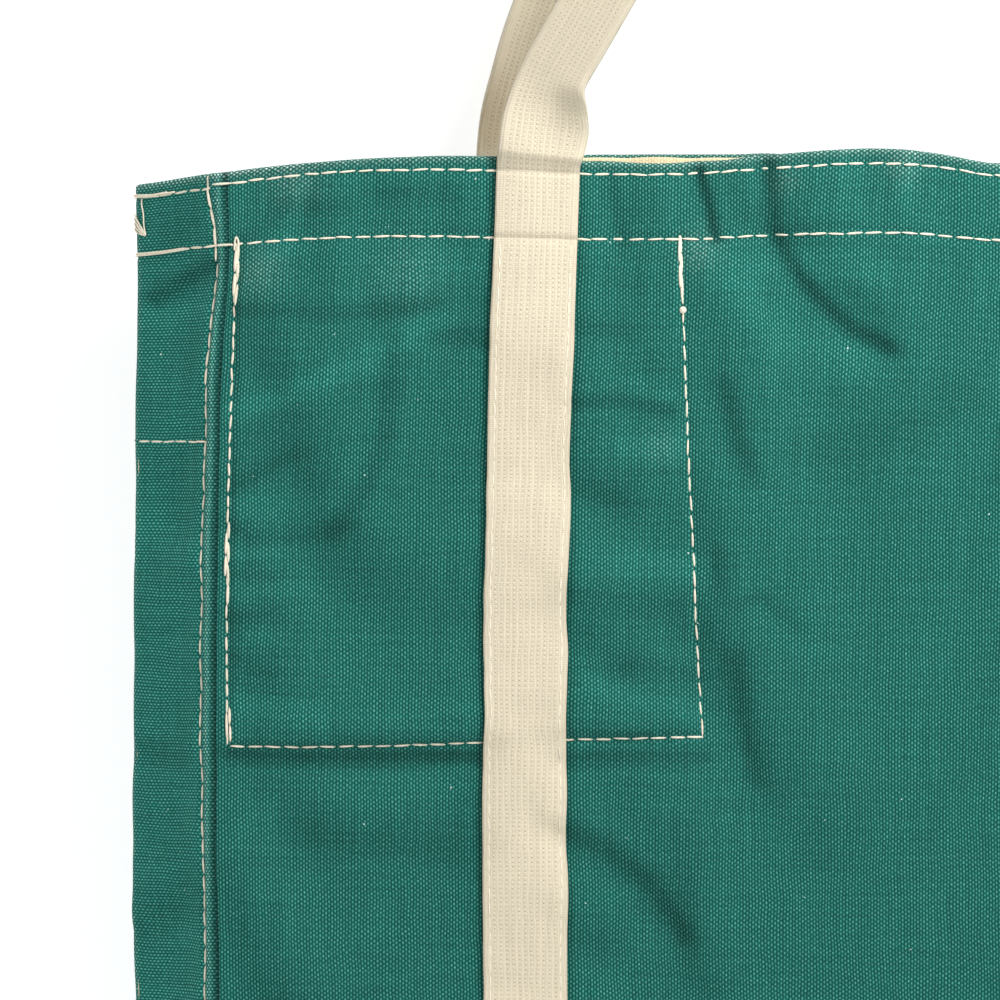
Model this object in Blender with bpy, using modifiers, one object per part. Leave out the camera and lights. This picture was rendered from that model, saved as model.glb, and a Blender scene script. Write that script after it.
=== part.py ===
"""Garden tool bag: a canvas carrier with creased side gussets, sewn-on webbing and two webbing handles.

The bag stands on its base. +Z is up, the front faces -Y, and the origin is on the floor under the middle.
Every sewn layer is a sheet laid on one of two surfaces, the panel or the gusset, at its own lift.
Lift is the distance outward from the canvas's outer face.
"""

from math import cos, exp, pi, radians, sin, sqrt

import bmesh
import bpy
from mathutils import Vector

# Driving dimensions, in metres.
PANEL_WIDTH = 0.405
BAG_HEIGHT = 0.356
GUSSET_WIDTH = 0.064
MOUTH_DEPTH = 0.0374
FLARE_HEIGHT = 0.068
CANVAS = 0.0011
HEM_HEIGHT = 0.0254
HEM_THREAD_UPPER = 0.0040
HEM_THREAD_LOWER = 0.0236
WEBBING_WIDTH = 0.0254
WEBBING_THICKNESS = 0.0018
FRONT_STRAP_SPACING = 0.2150
BACK_STRAP_SPACING = 0.2236
HANDLE_RISE = 0.130
HANDLE_FOOT_LEAN = radians(4)
HANDLE_LEG_LEAN = radians(28)
HANDLE_FOOT_RADIUS = 0.115
POCKET_WIDTH = 0.142
POCKET_HEIGHT = 0.155
POCKET_EDGE = 0.0045
POCKET_FULLNESS = 0.010
GUSSET_FACING_HEIGHT = 0.078
SEAM_THREAD_INSET = 0.005
STRAP_THREAD_INSET = 0.002
THREAD = 0.0005
GAP = 0.0003

# Places and sizes that follow from the driving dimensions.
PANEL_BOTTOM = WEBBING_THICKNESS + GAP + CANVAS + GAP
HALF_GUSSET = GUSSET_WIDTH / 2
HALF_MOUTH = MOUTH_DEPTH / 2
SEAM_X = PANEL_WIDTH / 2
PANEL_EDGE = SEAM_X - CANVAS - GAP
HEM_THICKNESS = 2 * CANVAS
HEM_EDGE = PANEL_EDGE - HEM_THICKNESS - 2 * GAP
HEM_BOTTOM = BAG_HEIGHT - HEM_HEIGHT
INNER_LIFT = -CANVAS - GAP
THREAD_LIFT = GAP + THREAD / 2
STRAP_INNER_LIFT = THREAD + 2 * GAP
STRAP_OUTER_LIFT = STRAP_INNER_LIFT + WEBBING_THICKNESS
STRAP_THREAD_LIFT = STRAP_OUTER_LIFT + THREAD_LIFT
STRAP_TOP = BAG_HEIGHT - 2 * GAP
HINGE_CLEARANCE = 2 * GAP
HINGE_Y = HALF_MOUTH + STRAP_OUTER_LIFT + HINGE_CLEARANCE
HANDLE_FOOT = BAG_HEIGHT + GAP + WEBBING_WIDTH / 2 * sin(HANDLE_FOOT_LEAN)
POCKET_OUTER_X = PANEL_EDGE - POCKET_EDGE
POCKET_INNER_X = POCKET_OUTER_X - POCKET_WIDTH
POCKET_TOP = HEM_BOTTOM - GAP
POCKET_BOTTOM = POCKET_TOP - POCKET_HEIGHT
FACING_TOP = HEM_BOTTOM - GAP
FACING_BOTTOM = BAG_HEIGHT - GUSSET_FACING_HEIGHT
FULLNESS_RAMP = 0.020

# Parts of the half gusset, as fractions from the crease (0) to the seam (1).
GUSSET_HEM_REACH = 0.92
FACING_REACH = 0.78
SEAM_THREAD_REACH = 1 - SEAM_THREAD_INSET / HALF_GUSSET

PANEL_ROWS = 24
ROW_GRADING = 1.5
HANDLE_STEPS = 41
THREAD_STEP = 0.012

FRONT, BACK = -1, 1
LEFT, RIGHT = -1, 1
FACE_NAMES = {FRONT: "front", BACK: "back"}
SIDE_NAMES = {LEFT: "left", RIGHT: "right"}
STRAP_X = {FRONT: FRONT_STRAP_SPACING / 2, BACK: BACK_STRAP_SPACING / 2}


def clear_scene():
    for obj in list(bpy.data.objects):
        bpy.data.objects.remove(obj, do_unlink=True)


def make_material(name, colour, roughness):
    material = bpy.data.materials.new(name)
    material.use_nodes = True
    shader = material.node_tree.nodes["Principled BSDF"]
    shader.inputs["Base Color"].default_value = (*colour, 1.0)
    shader.inputs["Roughness"].default_value = roughness
    shader.inputs["Metallic"].default_value = 0.0
    return material


def half_depth(z):
    """Distance of the panel's outer face from the middle of the bag at a height."""
    flare = exp(-(z - PANEL_BOTTOM) / FLARE_HEIGHT)
    return HALF_MOUTH + (HALF_GUSSET - HALF_MOUTH) * flare


def gusset_reach(z):
    """How far the gusset's crease stands out past the side seam at a height."""
    return sqrt(max(HALF_GUSSET**2 - half_depth(z) ** 2, 0.0))


def panel_point(face, x, z, lift):
    slope = (half_depth(z) - HALF_MOUTH) / FLARE_HEIGHT
    length = sqrt(1 + slope**2)
    return Vector((x, face * (half_depth(z) + lift / length), z + lift * slope / length))


def gusset_point(side, reach, z, lift):
    """Point on a gusset. Reach runs from -1 at the front seam, through 0 at the crease, to 1 at the back."""
    depth = half_depth(z)
    out = gusset_reach(z)
    middle = Vector((side * (SEAM_X + out * (1 - abs(reach))), reach * depth, z))
    if reach == 0:
        return middle + Vector((side * lift * HALF_GUSSET / depth, 0, 0))
    bend = 1 if reach > 0 else -1
    return middle + Vector((side * depth, bend * out, 0)) * (lift / HALF_GUSSET)


def seam_corner(side, face, z, lift):
    """Point over the corner where a panel meets a gusset."""
    bend = Vector((side * half_depth(z), face * gusset_reach(z), 0)) / HALF_GUSSET
    middle = (bend + Vector((0, face, 0))).normalized()
    return Vector((side * SEAM_X, face * half_depth(z), z)) + middle * (lift / abs(middle.y))


def graded(share, low, high):
    """Height at a share of a sheet's rows. Rows are closer together near the flared base."""
    first = ((low - PANEL_BOTTOM) / BAG_HEIGHT) ** (1 / ROW_GRADING)
    last = ((high - PANEL_BOTTOM) / BAG_HEIGHT) ** (1 / ROW_GRADING)
    return PANEL_BOTTOM + BAG_HEIGHT * (first + (last - first) * share) ** ROW_GRADING


def rows_for(low, high):
    return max(2, round(PANEL_ROWS * (high - low) / BAG_HEIGHT))


def add_object(name, bm, thickness, material, collection):
    """Object from an open sheet, given its thickness inward by Solidify."""
    mesh = bpy.data.meshes.new(name)
    bm.to_mesh(mesh)
    bm.free()
    mesh.materials.append(material)
    obj = bpy.data.objects.new(name, mesh)
    collection.objects.link(obj)
    solidify = obj.modifiers.new("thickness", "SOLIDIFY")
    solidify.thickness = thickness
    solidify.offset = -1.0
    solidify.use_even_offset = True
    return obj


def laid_sheet(name, place, columns, rows, thickness, flip, material, collection):
    """Sheet of cloth whose points place(u, v) gives, with u and v from 0 to 1."""
    bm = bmesh.new()
    bmesh.ops.create_grid(bm, x_segments=columns, y_segments=rows, size=0.5)
    for vert in bm.verts:
        vert.co = place(vert.co.x + 0.5, vert.co.y + 0.5)
    if flip:
        bmesh.ops.reverse_faces(bm, faces=bm.faces)
    return add_object(name, bm, thickness, material, collection)


def panel_sheet(name, face, x_range, z_range, lift, thickness, material, collection):
    """Flat strip or panel laid on the front or the back."""
    low_x, high_x = x_range
    low_z, high_z = z_range

    def place(u, v):
        return panel_point(face, low_x + (high_x - low_x) * u, graded(v, low_z, high_z), lift)

    rows = rows_for(low_z, high_z)
    return laid_sheet(name, place, 1, rows, thickness, face == BACK, material, collection)


def gusset_sheet(name, side, reach, z_range, lift, thickness, material, collection):
    """Creased sheet laid on a gusset, reaching the same way to both seams."""
    low_z, high_z = z_range

    def place(u, v):
        share = round(2 * u - 1, 6)
        return gusset_point(side, share * reach, graded(v, low_z, high_z), lift)

    rows = rows_for(low_z, high_z)
    return laid_sheet(name, place, 2, rows, thickness, side == LEFT, material, collection)


def thread_line(name, points, cyclic, material, collection):
    """Line of sewing thread along points, as a round curve."""
    curve = bpy.data.curves.new(name, "CURVE")
    curve.dimensions = "3D"
    curve.bevel_depth = THREAD / 2
    curve.bevel_resolution = 0
    curve.use_fill_caps = not cyclic
    spline = curve.splines.new("POLY")
    spline.points.add(len(points) - 1)
    for spot, point in zip(spline.points, points):
        spot.co = (*point, 1.0)
    spline.use_cyclic_u = cyclic
    curve.materials.append(material)
    obj = bpy.data.objects.new(name, curve)
    collection.objects.link(obj)
    return obj


def spread(start, end, step):
    """Values from start to end, no further apart than step."""
    count = max(1, round(abs(end - start) / step))
    return [start + (end - start) * i / count for i in range(count + 1)]


def make_panels(canvas, collection):
    z_range = (PANEL_BOTTOM, BAG_HEIGHT)
    for face, face_name in FACE_NAMES.items():
        edges = (-PANEL_EDGE, PANEL_EDGE)
        panel_sheet(f"{face_name}_panel", face, edges, z_range, 0, CANVAS, canvas, collection)
        hem_edges = (-HEM_EDGE, HEM_EDGE)
        hem_range = (HEM_BOTTOM, BAG_HEIGHT)
        name = f"{face_name}_hem"
        panel_sheet(name, face, hem_edges, hem_range, INNER_LIFT, HEM_THICKNESS, canvas, collection)


def make_base(canvas, collection):
    half_x = PANEL_EDGE
    half_y = HALF_GUSSET - CANVAS - GAP
    top = WEBBING_THICKNESS + GAP + CANVAS

    def place(u, v):
        return Vector((half_x * (2 * u - 1), half_y * (2 * v - 1), top))

    laid_sheet("base_panel", place, 8, 2, CANVAS, False, canvas, collection)


def make_gussets(canvas, collection):
    for side, side_name in SIDE_NAMES.items():
        z_range = (PANEL_BOTTOM, BAG_HEIGHT)
        gusset_sheet(f"{side_name}_gusset", side, 1.0, z_range, 0, CANVAS, canvas, collection)
        hem_range = (HEM_BOTTOM, BAG_HEIGHT)
        name = f"{side_name}_gusset_hem"
        reach = GUSSET_HEM_REACH
        gusset_sheet(name, side, reach, hem_range, INNER_LIFT, HEM_THICKNESS, canvas, collection)
        facing_range = (FACING_BOTTOM, FACING_TOP)
        name = f"{side_name}_gusset_facing"
        gusset_sheet(name, side, FACING_REACH, facing_range, INNER_LIFT, CANVAS, canvas, collection)


def pocket_lift(u, v):
    """Lift of a pocket's sheet: flat where it is sewn down, full in the middle and at the mouth."""
    across = min(u, 1 - u) * POCKET_WIDTH / FULLNESS_RAMP
    up = v * POCKET_HEIGHT / FULLNESS_RAMP
    share = min(across, up, 1.0)
    return INNER_LIFT - POCKET_FULLNESS * (1 - cos(pi * share)) / 2


def make_pockets(canvas, collection):
    columns = 2 * round(POCKET_WIDTH / 2 / FULLNESS_RAMP * 3)
    rows = round(POCKET_HEIGHT / FULLNESS_RAMP * 2)
    for side, side_name in SIDE_NAMES.items():
        low = min(side * POCKET_OUTER_X, side * POCKET_INNER_X)

        def place(u, v, low=low):
            height = POCKET_BOTTOM + POCKET_HEIGHT * v
            return panel_point(FRONT, low + POCKET_WIDTH * u, height, pocket_lift(u, v))

        name = f"{side_name}_inner_pocket"
        laid_sheet(name, place, columns, rows, CANVAS, False, canvas, collection)


def make_straps(webbing, collection):
    half = WEBBING_WIDTH / 2
    for side, side_name in SIDE_NAMES.items():
        for face, face_name in FACE_NAMES.items():
            centre = side * STRAP_X[face]
            x_range = (centre - half, centre + half)
            name = f"{face_name}_{side_name}_strap"
            z_range = (PANEL_BOTTOM, STRAP_TOP)
            lift = STRAP_OUTER_LIFT
            panel_sheet(name, face, x_range, z_range, lift, WEBBING_THICKNESS, webbing, collection)
        make_base_strap(f"base_{side_name}_strap", side, webbing, collection)


def make_base_strap(name, side, webbing, collection):
    """Run of webbing under the base, from the front strap's foot to the back strap's."""
    half_x = WEBBING_WIDTH / 2
    half_y = HALF_GUSSET + STRAP_OUTER_LIFT

    def place(u, v):
        centre = side * (STRAP_X[FRONT] * (1 - v) + STRAP_X[BACK] * v)
        return Vector((centre + half_x * (2 * u - 1), half_y * (2 * v - 1), WEBBING_THICKNESS))

    laid_sheet(name, place, 1, 3, WEBBING_THICKNESS, False, webbing, collection)


def handle_centre(share, half_spacing):
    """Point and leaning direction on a handle's middle line, share from -1 to 1 along its length."""
    start, lean = HANDLE_FOOT_LEAN, HANDLE_LEG_LEAN
    foot = HANDLE_FOOT_RADIUS
    foot_x = foot * (cos(start) - cos(lean))
    foot_z = foot * (sin(lean) - sin(start))
    across = half_spacing - foot_x
    up = HANDLE_RISE - foot_z
    leg = (up * cos(lean) - across * (1 - sin(lean))) / (1 - sin(lean))
    crown = (across * cos(lean) - up * sin(lean)) / (1 - sin(lean))
    foot_length = foot * (lean - start)
    crown_length = crown * (pi / 2 - lean)
    along = (1 - abs(share)) * (foot_length + leg + crown_length)
    if along < foot_length:
        angle = start + along / foot
        x = foot * (cos(start) - cos(angle))
        z = foot * (sin(angle) - sin(start))
    elif along < foot_length + leg:
        angle = lean
        x = foot_x + (along - foot_length) * sin(lean)
        z = foot_z + (along - foot_length) * cos(lean)
    else:
        angle = lean + (along - foot_length - leg) / crown
        x = foot_x + leg * sin(lean) + crown * (cos(lean) - cos(angle))
        z = foot_z + leg * cos(lean) + crown * (sin(angle) - sin(lean))
    side = -1 if share < 0 else 1
    centre = Vector((side * (half_spacing - x), 0, HANDLE_FOOT + z))
    return centre, Vector((side * cos(angle), 0, sin(angle)))


def make_handles(webbing, collection):
    half = WEBBING_WIDTH / 2
    for face, face_name in FACE_NAMES.items():
        hinge = Vector((0, face * HINGE_Y, BAG_HEIGHT))
        outer = face * (HALF_MOUTH + STRAP_OUTER_LIFT)

        def place(u, v, face=face, outer=outer, hinge=hinge):
            centre, outward = handle_centre(2 * u - 1, STRAP_X[face])
            point = centre + outward * (half * (2 * v - 1))
            point.y = outer
            return point - hinge

        name = f"{face_name}_handle"
        thickness = WEBBING_THICKNESS
        flip = face == BACK
        handle = laid_sheet(name, place, HANDLE_STEPS, 1, thickness, flip, webbing, collection)
        handle.location = hinge


def mouth_ring(drop):
    """Points of a line of stitching that runs once round the mouth, a drop below its edge."""
    z = BAG_HEIGHT - drop
    points = []
    for face, side in ((FRONT, LEFT), (BACK, RIGHT)):
        start = side * (SEAM_X - WEBBING_WIDTH / 8)
        points.append(seam_corner(side, face, z, THREAD_LIFT))
        for x in spread(start, -start, 4 * THREAD_STEP):
            points.append(panel_point(face, x, z, THREAD_LIFT))
        points.append(seam_corner(-side, face, z, THREAD_LIFT))
        for reach in (0.85 * face, 0.0, -0.85 * face):
            points.append(gusset_point(-side, reach, z, THREAD_LIFT))
    return points


def make_hem_threads(thread, collection):
    thread_line("hem_thread_upper", mouth_ring(HEM_THREAD_UPPER), True, thread, collection)
    thread_line("hem_thread_lower", mouth_ring(HEM_THREAD_LOWER), True, thread, collection)


def make_seam_threads(thread, collection):
    """Topstitching down each gusset, beside its seam with the panel."""
    low = PANEL_BOTTOM + 0.02
    high = HEM_BOTTOM - GAP
    for face, face_name in FACE_NAMES.items():
        for side, side_name in SIDE_NAMES.items():
            reach = face * SEAM_THREAD_REACH
            heights = spread(low, high, THREAD_STEP)
            points = [gusset_point(side, reach, z, THREAD_LIFT) for z in heights]
            thread_line(f"{face_name}_{side_name}_seam_thread", points, False, thread, collection)


def make_strap_threads(thread, collection):
    """Two lines of stitching down each strap, one along each edge."""
    inset = WEBBING_WIDTH / 2 - STRAP_THREAD_INSET
    for face, face_name in FACE_NAMES.items():
        for side, side_name in SIDE_NAMES.items():
            for edge, edge_name in ((-side, "inner"), (side, "outer")):
                x = side * STRAP_X[face] + edge * inset
                heights = spread(PANEL_BOTTOM + THREAD, STRAP_TOP - THREAD, THREAD_STEP)
                points = [panel_point(face, x, z, STRAP_THREAD_LIFT) for z in heights]
                name = f"{face_name}_{side_name}_strap_thread_{edge_name}"
                thread_line(name, points, False, thread, collection)


def make_pocket_threads(thread, collection):
    """One U of stitching for each inner pocket, seen on the outside of the front panel."""
    inset = POCKET_EDGE / 2
    low = POCKET_BOTTOM + inset
    high = BAG_HEIGHT - HEM_THREAD_LOWER - 2 * THREAD
    for side, side_name in SIDE_NAMES.items():
        outer = side * (POCKET_OUTER_X - inset)
        inner = side * (POCKET_INNER_X + inset)
        points = [panel_point(FRONT, outer, z, THREAD_LIFT) for z in spread(high, low, THREAD_STEP)]
        points += [panel_point(FRONT, inner, z, THREAD_LIFT) for z in spread(low, high, THREAD_STEP)]
        thread_line(f"{side_name}_pocket_thread", points, False, thread, collection)


def make_facing_threads(thread, collection):
    """Stitching across each gusset, along the lower edge of its inner facing."""
    z = FACING_BOTTOM + 2 * THREAD
    for side, side_name in SIDE_NAMES.items():
        reaches = (-FACING_REACH, -FACING_REACH / 2, 0.0, FACING_REACH / 2, FACING_REACH)
        points = [gusset_point(side, reach, z, THREAD_LIFT) for reach in reaches]
        thread_line(f"{side_name}_facing_thread", points, False, thread, collection)


def main():
    clear_scene()
    collection = bpy.data.collections.new("garden_tool_bag")
    bpy.context.scene.collection.children.link(collection)
    canvas = make_material("dyed_canvas", (0.030, 0.196, 0.168), 0.9)
    webbing = make_material("cotton_webbing", (0.82, 0.72, 0.55), 0.85)
    thread = make_material("cotton_thread", (0.85, 0.78, 0.62), 0.8)
    make_panels(canvas, collection)
    make_base(canvas, collection)
    make_gussets(canvas, collection)
    make_pockets(canvas, collection)
    make_straps(webbing, collection)
    make_handles(webbing, collection)
    make_hem_threads(thread, collection)
    make_seam_threads(thread, collection)
    make_strap_threads(thread, collection)
    make_pocket_threads(thread, collection)
    make_facing_threads(thread, collection)


main()
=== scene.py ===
import math

import bmesh
import bpy
import numpy as np
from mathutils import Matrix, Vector


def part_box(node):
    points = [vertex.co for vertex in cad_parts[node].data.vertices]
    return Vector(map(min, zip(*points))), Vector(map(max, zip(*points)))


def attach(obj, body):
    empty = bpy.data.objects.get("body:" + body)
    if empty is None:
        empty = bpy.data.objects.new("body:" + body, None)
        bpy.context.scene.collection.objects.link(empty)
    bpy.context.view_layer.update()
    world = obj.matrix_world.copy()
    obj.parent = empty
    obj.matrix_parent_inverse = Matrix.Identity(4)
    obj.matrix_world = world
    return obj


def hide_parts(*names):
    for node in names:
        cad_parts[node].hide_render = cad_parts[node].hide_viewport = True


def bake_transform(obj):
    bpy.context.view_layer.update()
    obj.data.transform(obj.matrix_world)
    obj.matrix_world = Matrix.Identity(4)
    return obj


# Garden tool bag: canvas shell, cream mouth tape, sewn-on webbing that rises as two handles.
# Everything is laid on two kinds of surface that match the frame: the flat panels and the creased gussets.
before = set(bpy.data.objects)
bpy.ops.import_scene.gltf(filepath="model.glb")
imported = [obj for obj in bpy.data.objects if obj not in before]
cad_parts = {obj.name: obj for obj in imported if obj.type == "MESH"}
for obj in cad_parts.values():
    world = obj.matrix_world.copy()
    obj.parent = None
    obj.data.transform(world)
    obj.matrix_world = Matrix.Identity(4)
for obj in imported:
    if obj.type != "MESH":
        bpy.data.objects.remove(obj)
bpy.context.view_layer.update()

mm = 0.001
frontLow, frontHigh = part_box("front_panel")
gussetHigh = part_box("right_gusset")[1]

bag = {
    "seamX": 202.5 * mm,
    "height": frontHigh.z,
    "bottom": frontLow.z,
    "halfGusset": gussetHigh.y,
    "halfMouth": 18.7 * mm,
    "flare": 68 * mm,           # height over which the boxed base closes up to the mouth
    "skew": 3.5 * mm,           # the body hangs a little to the left between mouth and base
    "canvas": 1.1 * mm,
    "rimRadius": 1.5 * mm,
    "hem": 25.4 * mm,
}
faces = ((-1, "front"), (1, "back"))
sides = ((-1, "left"), (1, "right"))
# Depth of each line of hem stitching, and how much deeper it runs on a gusset: at once, and by its crease.
hemLines = {"upper": 3.9 * mm, "lower": 23.6 * mm}
hemDips = {"upper": (1.3 * mm, 0.0), "lower": (0.0, 1.5 * mm)}

# Height of the mouth's edge against the frame's, along x, both in millimetres.
rims = {
    -1: [(-229, -7.6), (-215, -4.6), (-203, -3.6), (-185, -1.2), (-160, 0.8), (-133, 1.8), (-112, 1.4),
         (-91, 0.0), (-62, -0.8), (-38, 1.5), (-20, 3.4), (0, 4.2), (14, 3.0), (35, -1.4), (60, -2.6),
         (100, -0.4), (140, 1.6), (175, 0.2), (203, -3.4), (229, -7.2)],
    1: [(-229, -7.6), (-215, -4.8), (-203, -4.2), (-160, -0.6), (-119, 1.4), (-91, 1.9), (-60, 2.0),
        (-30, 2.0), (0, 1.6), (35, -1.0), (80, 0.4), (120, 1.8), (160, 0.6), (203, -3.8), (229, -7.2)],
}
rimFade = 46 * mm     # depth over which the edge's waviness dies out

# How much further out each gusset's crease stands than its cut width gives, by height, in millimetres.
creases = [(0, 0.6), (50, 2.6), (90, 2.4), (130, 1.0), (190, -0.6), (250, -0.8), (322, -0.4), (340, 0.3),
           (358, 1.5)]

# Soft folds seeded on each panel before it settles: ends (x, z), width and height, in millimetres.
folds = {
    -1: [
        (-152, 306, -128, 309, 5, -1.0), (-195, 314, -168, 326, 7, 0.9), (-140, 240, -134, 236, 8, 0.9),
        (-96, 262, -70, 246, 7, -1.1), (-96, 214, -66, 205, 8, -0.8),
        (-96, 300, -70, 308, 8, 0.8), (-95, 232, -66, 226, 8, 0.8),
        (-84, 350, -80, 334, 4, -1.0), (-57, 351, -51, 333, 4, -1.2), (-38, 352, -31, 330, 4.5, -1.7),
        (6, 356, 8, 336, 4, 1.0), (-46, 352, -42, 334, 5, 0.9), (-70, 350, -67, 334, 5, 0.6),
        (-33, 330, 0, 299, 5.5, -2.6), (-50, 326, -30, 290, 9, 1.5), (-16, 336, 18, 314, 9, 1.2),
        (-50, 284, -42, 262, 5, -1.0), (-52, 256, -57, 209, 8, -1.5), (-57, 209, -34, 168, 8, -1.4),
        (-34, 283, -47, 222, 8, 1.4), (-47, 222, -28, 172, 8, 1.2), (-10, 262, 10, 232, 16, 1.2),
        (-36, 224, -24, 214, 4, -0.9), (0, 214, -8, 190, 6, -0.6), (31, 273, 31, 226, 7, -1.4),
        (60, 300, 96, 252, 10, 1.5), (52, 236, 80, 180, 9, -1.4), (130, 310, 180, 268, 9, -1.5),
        (140, 240, 190, 214, 10, 1.3), (150, 190, 196, 196, 7, -1.1),
        (-200, 172, -120, 175, 5, -1.3), (-96, 172, -60, 176, 5, -1.2), (-198, 151, -122, 148, 9, -1.2),
        (-200, 160, -188, 147, 4, 0.9), (-97, 152, -62, 130, 7, -1.8), (-60, 150, -20, 118, 12, 1.2),
        (-180, 120, -120, 96, 14, 1.6), (-40, 104, 60, 84, 16, -1.8), (80, 150, 190, 110, 14, 1.8),
        (-190, 66, -90, 50, 12, -1.6), (100, 66, 190, 40, 12, -1.5), (-60, 50, 60, 36, 14, 1.6),
    ],
    1: [
        (-190, 300, -130, 262, 9, 1.6), (-180, 240, -96, 214, 10, -1.6), (-70, 320, -30, 262, 8, -1.8),
        (-40, 230, 30, 190, 12, 1.8), (20, 320, 66, 282, 8, 1.5), (90, 270, 180, 232, 10, -1.7),
        (120, 330, 170, 300, 7, 1.2), (-190, 150, -90, 110, 13, 1.6), (-60, 120, 70, 92, 15, -1.9),
        (90, 170, 190, 128, 12, 1.6), (-180, 62, -70, 46, 11, -1.4), (70, 60, 190, 44, 11, 1.4),
        (-36, 352, -30, 332, 4.5, -1.5), (50, 352, 54, 332, 4.5, -1.3), (150, 352, 154, 333, 4.5, 1.1),
    ],
}

# Sharper folds: points (x, z) along each from left to right or top to bottom, half width in millimetres and
# slope, positive where the cloth faces up and to the right and negative where it faces down.
slopes = {
    -1: [
        ([(-199, 280), (-178, 286), (-150, 300), (-136, 307)], 3.2, 0.22),
        ([(-199, 313), (-185, 311), (-160, 310), (-136, 312)], 2.4, -0.14),
        ([(-150, 321), (-133, 325)], 5.0, 0.13), ([(-197, 317), (-182, 332)], 2.6, 0.15),
        ([(-177, 350), (-182, 334)], 2.4, 0.12), ([(-198, 331), (-183, 343), (-165, 342)], 2.6, -0.12),
        ([(-152, 345), (-134, 345)], 3.0, -0.10),
        ([(-148, 302), (-150, 272), (-156, 256), (-165, 244)], 2.6, -0.16),
        ([(-137, 304), (-120, 302)], 2.8, -0.17), ([(-199, 255), (-188, 262), (-177, 268)], 2.3, -0.16),
        ([(-199, 251), (-166, 253)], 2.6, 0.09),
        ([(-199, 246), (-190, 241), (-173, 242), (-160, 246)], 2.3, -0.14),
        ([(-197, 236), (-184, 237)], 2.6, 0.09), ([(-196, 231), (-178, 230)], 2.2, -0.06),
        ([(-197, 224), (-174, 226)], 2.8, 0.08), ([(-199, 217), (-184, 218)], 2.0, -0.15),
        ([(-199, 209), (-186, 211)], 2.0, 0.06), ([(-198, 206), (-184, 200)], 1.6, -0.10),
        ([(-199, 190), (-172, 187)], 4.2, 0.13), ([(-172, 187), (-124, 188)], 4.5, 0.06),
        ([(-200, 175), (-175, 174), (-121, 174.5)], 2.5, -0.27), ([(-95, 174), (-52, 175)], 2.4, -0.15),
        ([(-90, 306), (-78, 305)], 3.0, -0.11), ([(-95, 283), (-80, 284), (-64, 281)], 1.9, -0.19),
        ([(-74, 288), (-64, 286)], 2.0, 0.10), ([(-75, 270), (-60, 270)], 4.0, 0.15),
        ([(-95, 258), (-79, 254)], 4.0, -0.10), ([(-80, 235), (-57, 233)], 4.0, 0.10),
        ([(-92, 225), (-60, 222)], 4.0, -0.08), ([(-74, 203), (-55, 200)], 3.0, -0.13),
        ([(-84, 196), (-54, 188)], 3.0, 0.12), ([(-95, 183), (-70, 182)], 2.2, -0.10),
        ([(-83, 350), (-79, 331)], 1.8, -0.18), ([(-56, 353), (-51, 333)], 1.7, -0.34),
        ([(-35, 354), (-33, 335), (-29, 326), (-18, 313), (-8, 304), (4, 299)], 2.2, -0.32),
        ([(-50, 327), (-28, 302), (-8, 295)], 6.0, 0.10), ([(-28, 325), (0, 321)], 4.0, 0.11),
        ([(-12, 353), (-11, 343)], 3.0, 0.12), ([(9, 353), (6, 343)], 2.0, 0.14),
        ([(-46, 352), (-41, 338)], 3.0, -0.12), ([(-46, 287), (-43, 273), (-38, 263)], 3.0, -0.15),
        ([(-22, 270), (0, 272), (26, 285)], 6.0, -0.06), ([(-48, 238), (-47, 228)], 2.4, -0.12),
        ([(-42, 221), (-35, 225), (-24, 216)], 1.6, -0.11),
        ([(-41, 204), (-39, 190), (-35, 170)], 3.4, -0.15),
        ([(-197, 146), (-186, 159)], 2.4, 0.10), ([(-172, 150), (-128, 146)], 5.0, -0.09),
        ([(-97, 153), (-84, 148), (-70, 138), (-58, 122)], 3.8, -0.20),
        ([(-98, 128), (-84, 118)], 5.0, -0.12),
        ([(-58, 150), (-55, 108)], 5.0, -0.08), ([(-170, 165), (-130, 165)], 4.5, 0.07),
        ([(-170, 92), (-100, 84)], 7.0, -0.12), ([(-40, 60), (60, 74)], 8.0, 0.12),
        ([(70, 330), (84, 300), (120, 268)], 3.5, -0.22), ([(96, 330), (130, 300)], 5.0, 0.14),
        ([(60, 210), (120, 196), (190, 202)], 4.0, -0.16), ([(130, 250), (198, 268)], 4.0, 0.15),
        ([(90, 130), (190, 110)], 7.0, -0.14), ([(150, 352), (154, 330)], 2.0, -0.26),
    ],
    1: [
        ([(-196, 270), (-150, 292), (-128, 300)], 3.6, 0.18),
        ([(-60, 350), (-56, 330), (-30, 302)], 2.4, -0.28),
        ([(-198, 214), (-160, 220)], 3.0, -0.15), ([(-80, 250), (-20, 236)], 4.5, -0.14),
        ([(40, 300), (92, 312)], 4.0, 0.15), ([(50, 240), (90, 216), (112, 190)], 3.4, -0.18),
        ([(140, 330), (150, 304), (186, 280)], 3.0, -0.20), ([(-150, 130), (-60, 142)], 6.0, 0.12),
        ([(20, 120), (120, 104)], 6.0, -0.14), ([(120, 160), (196, 172)], 4.0, 0.13),
    ],
}
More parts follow.
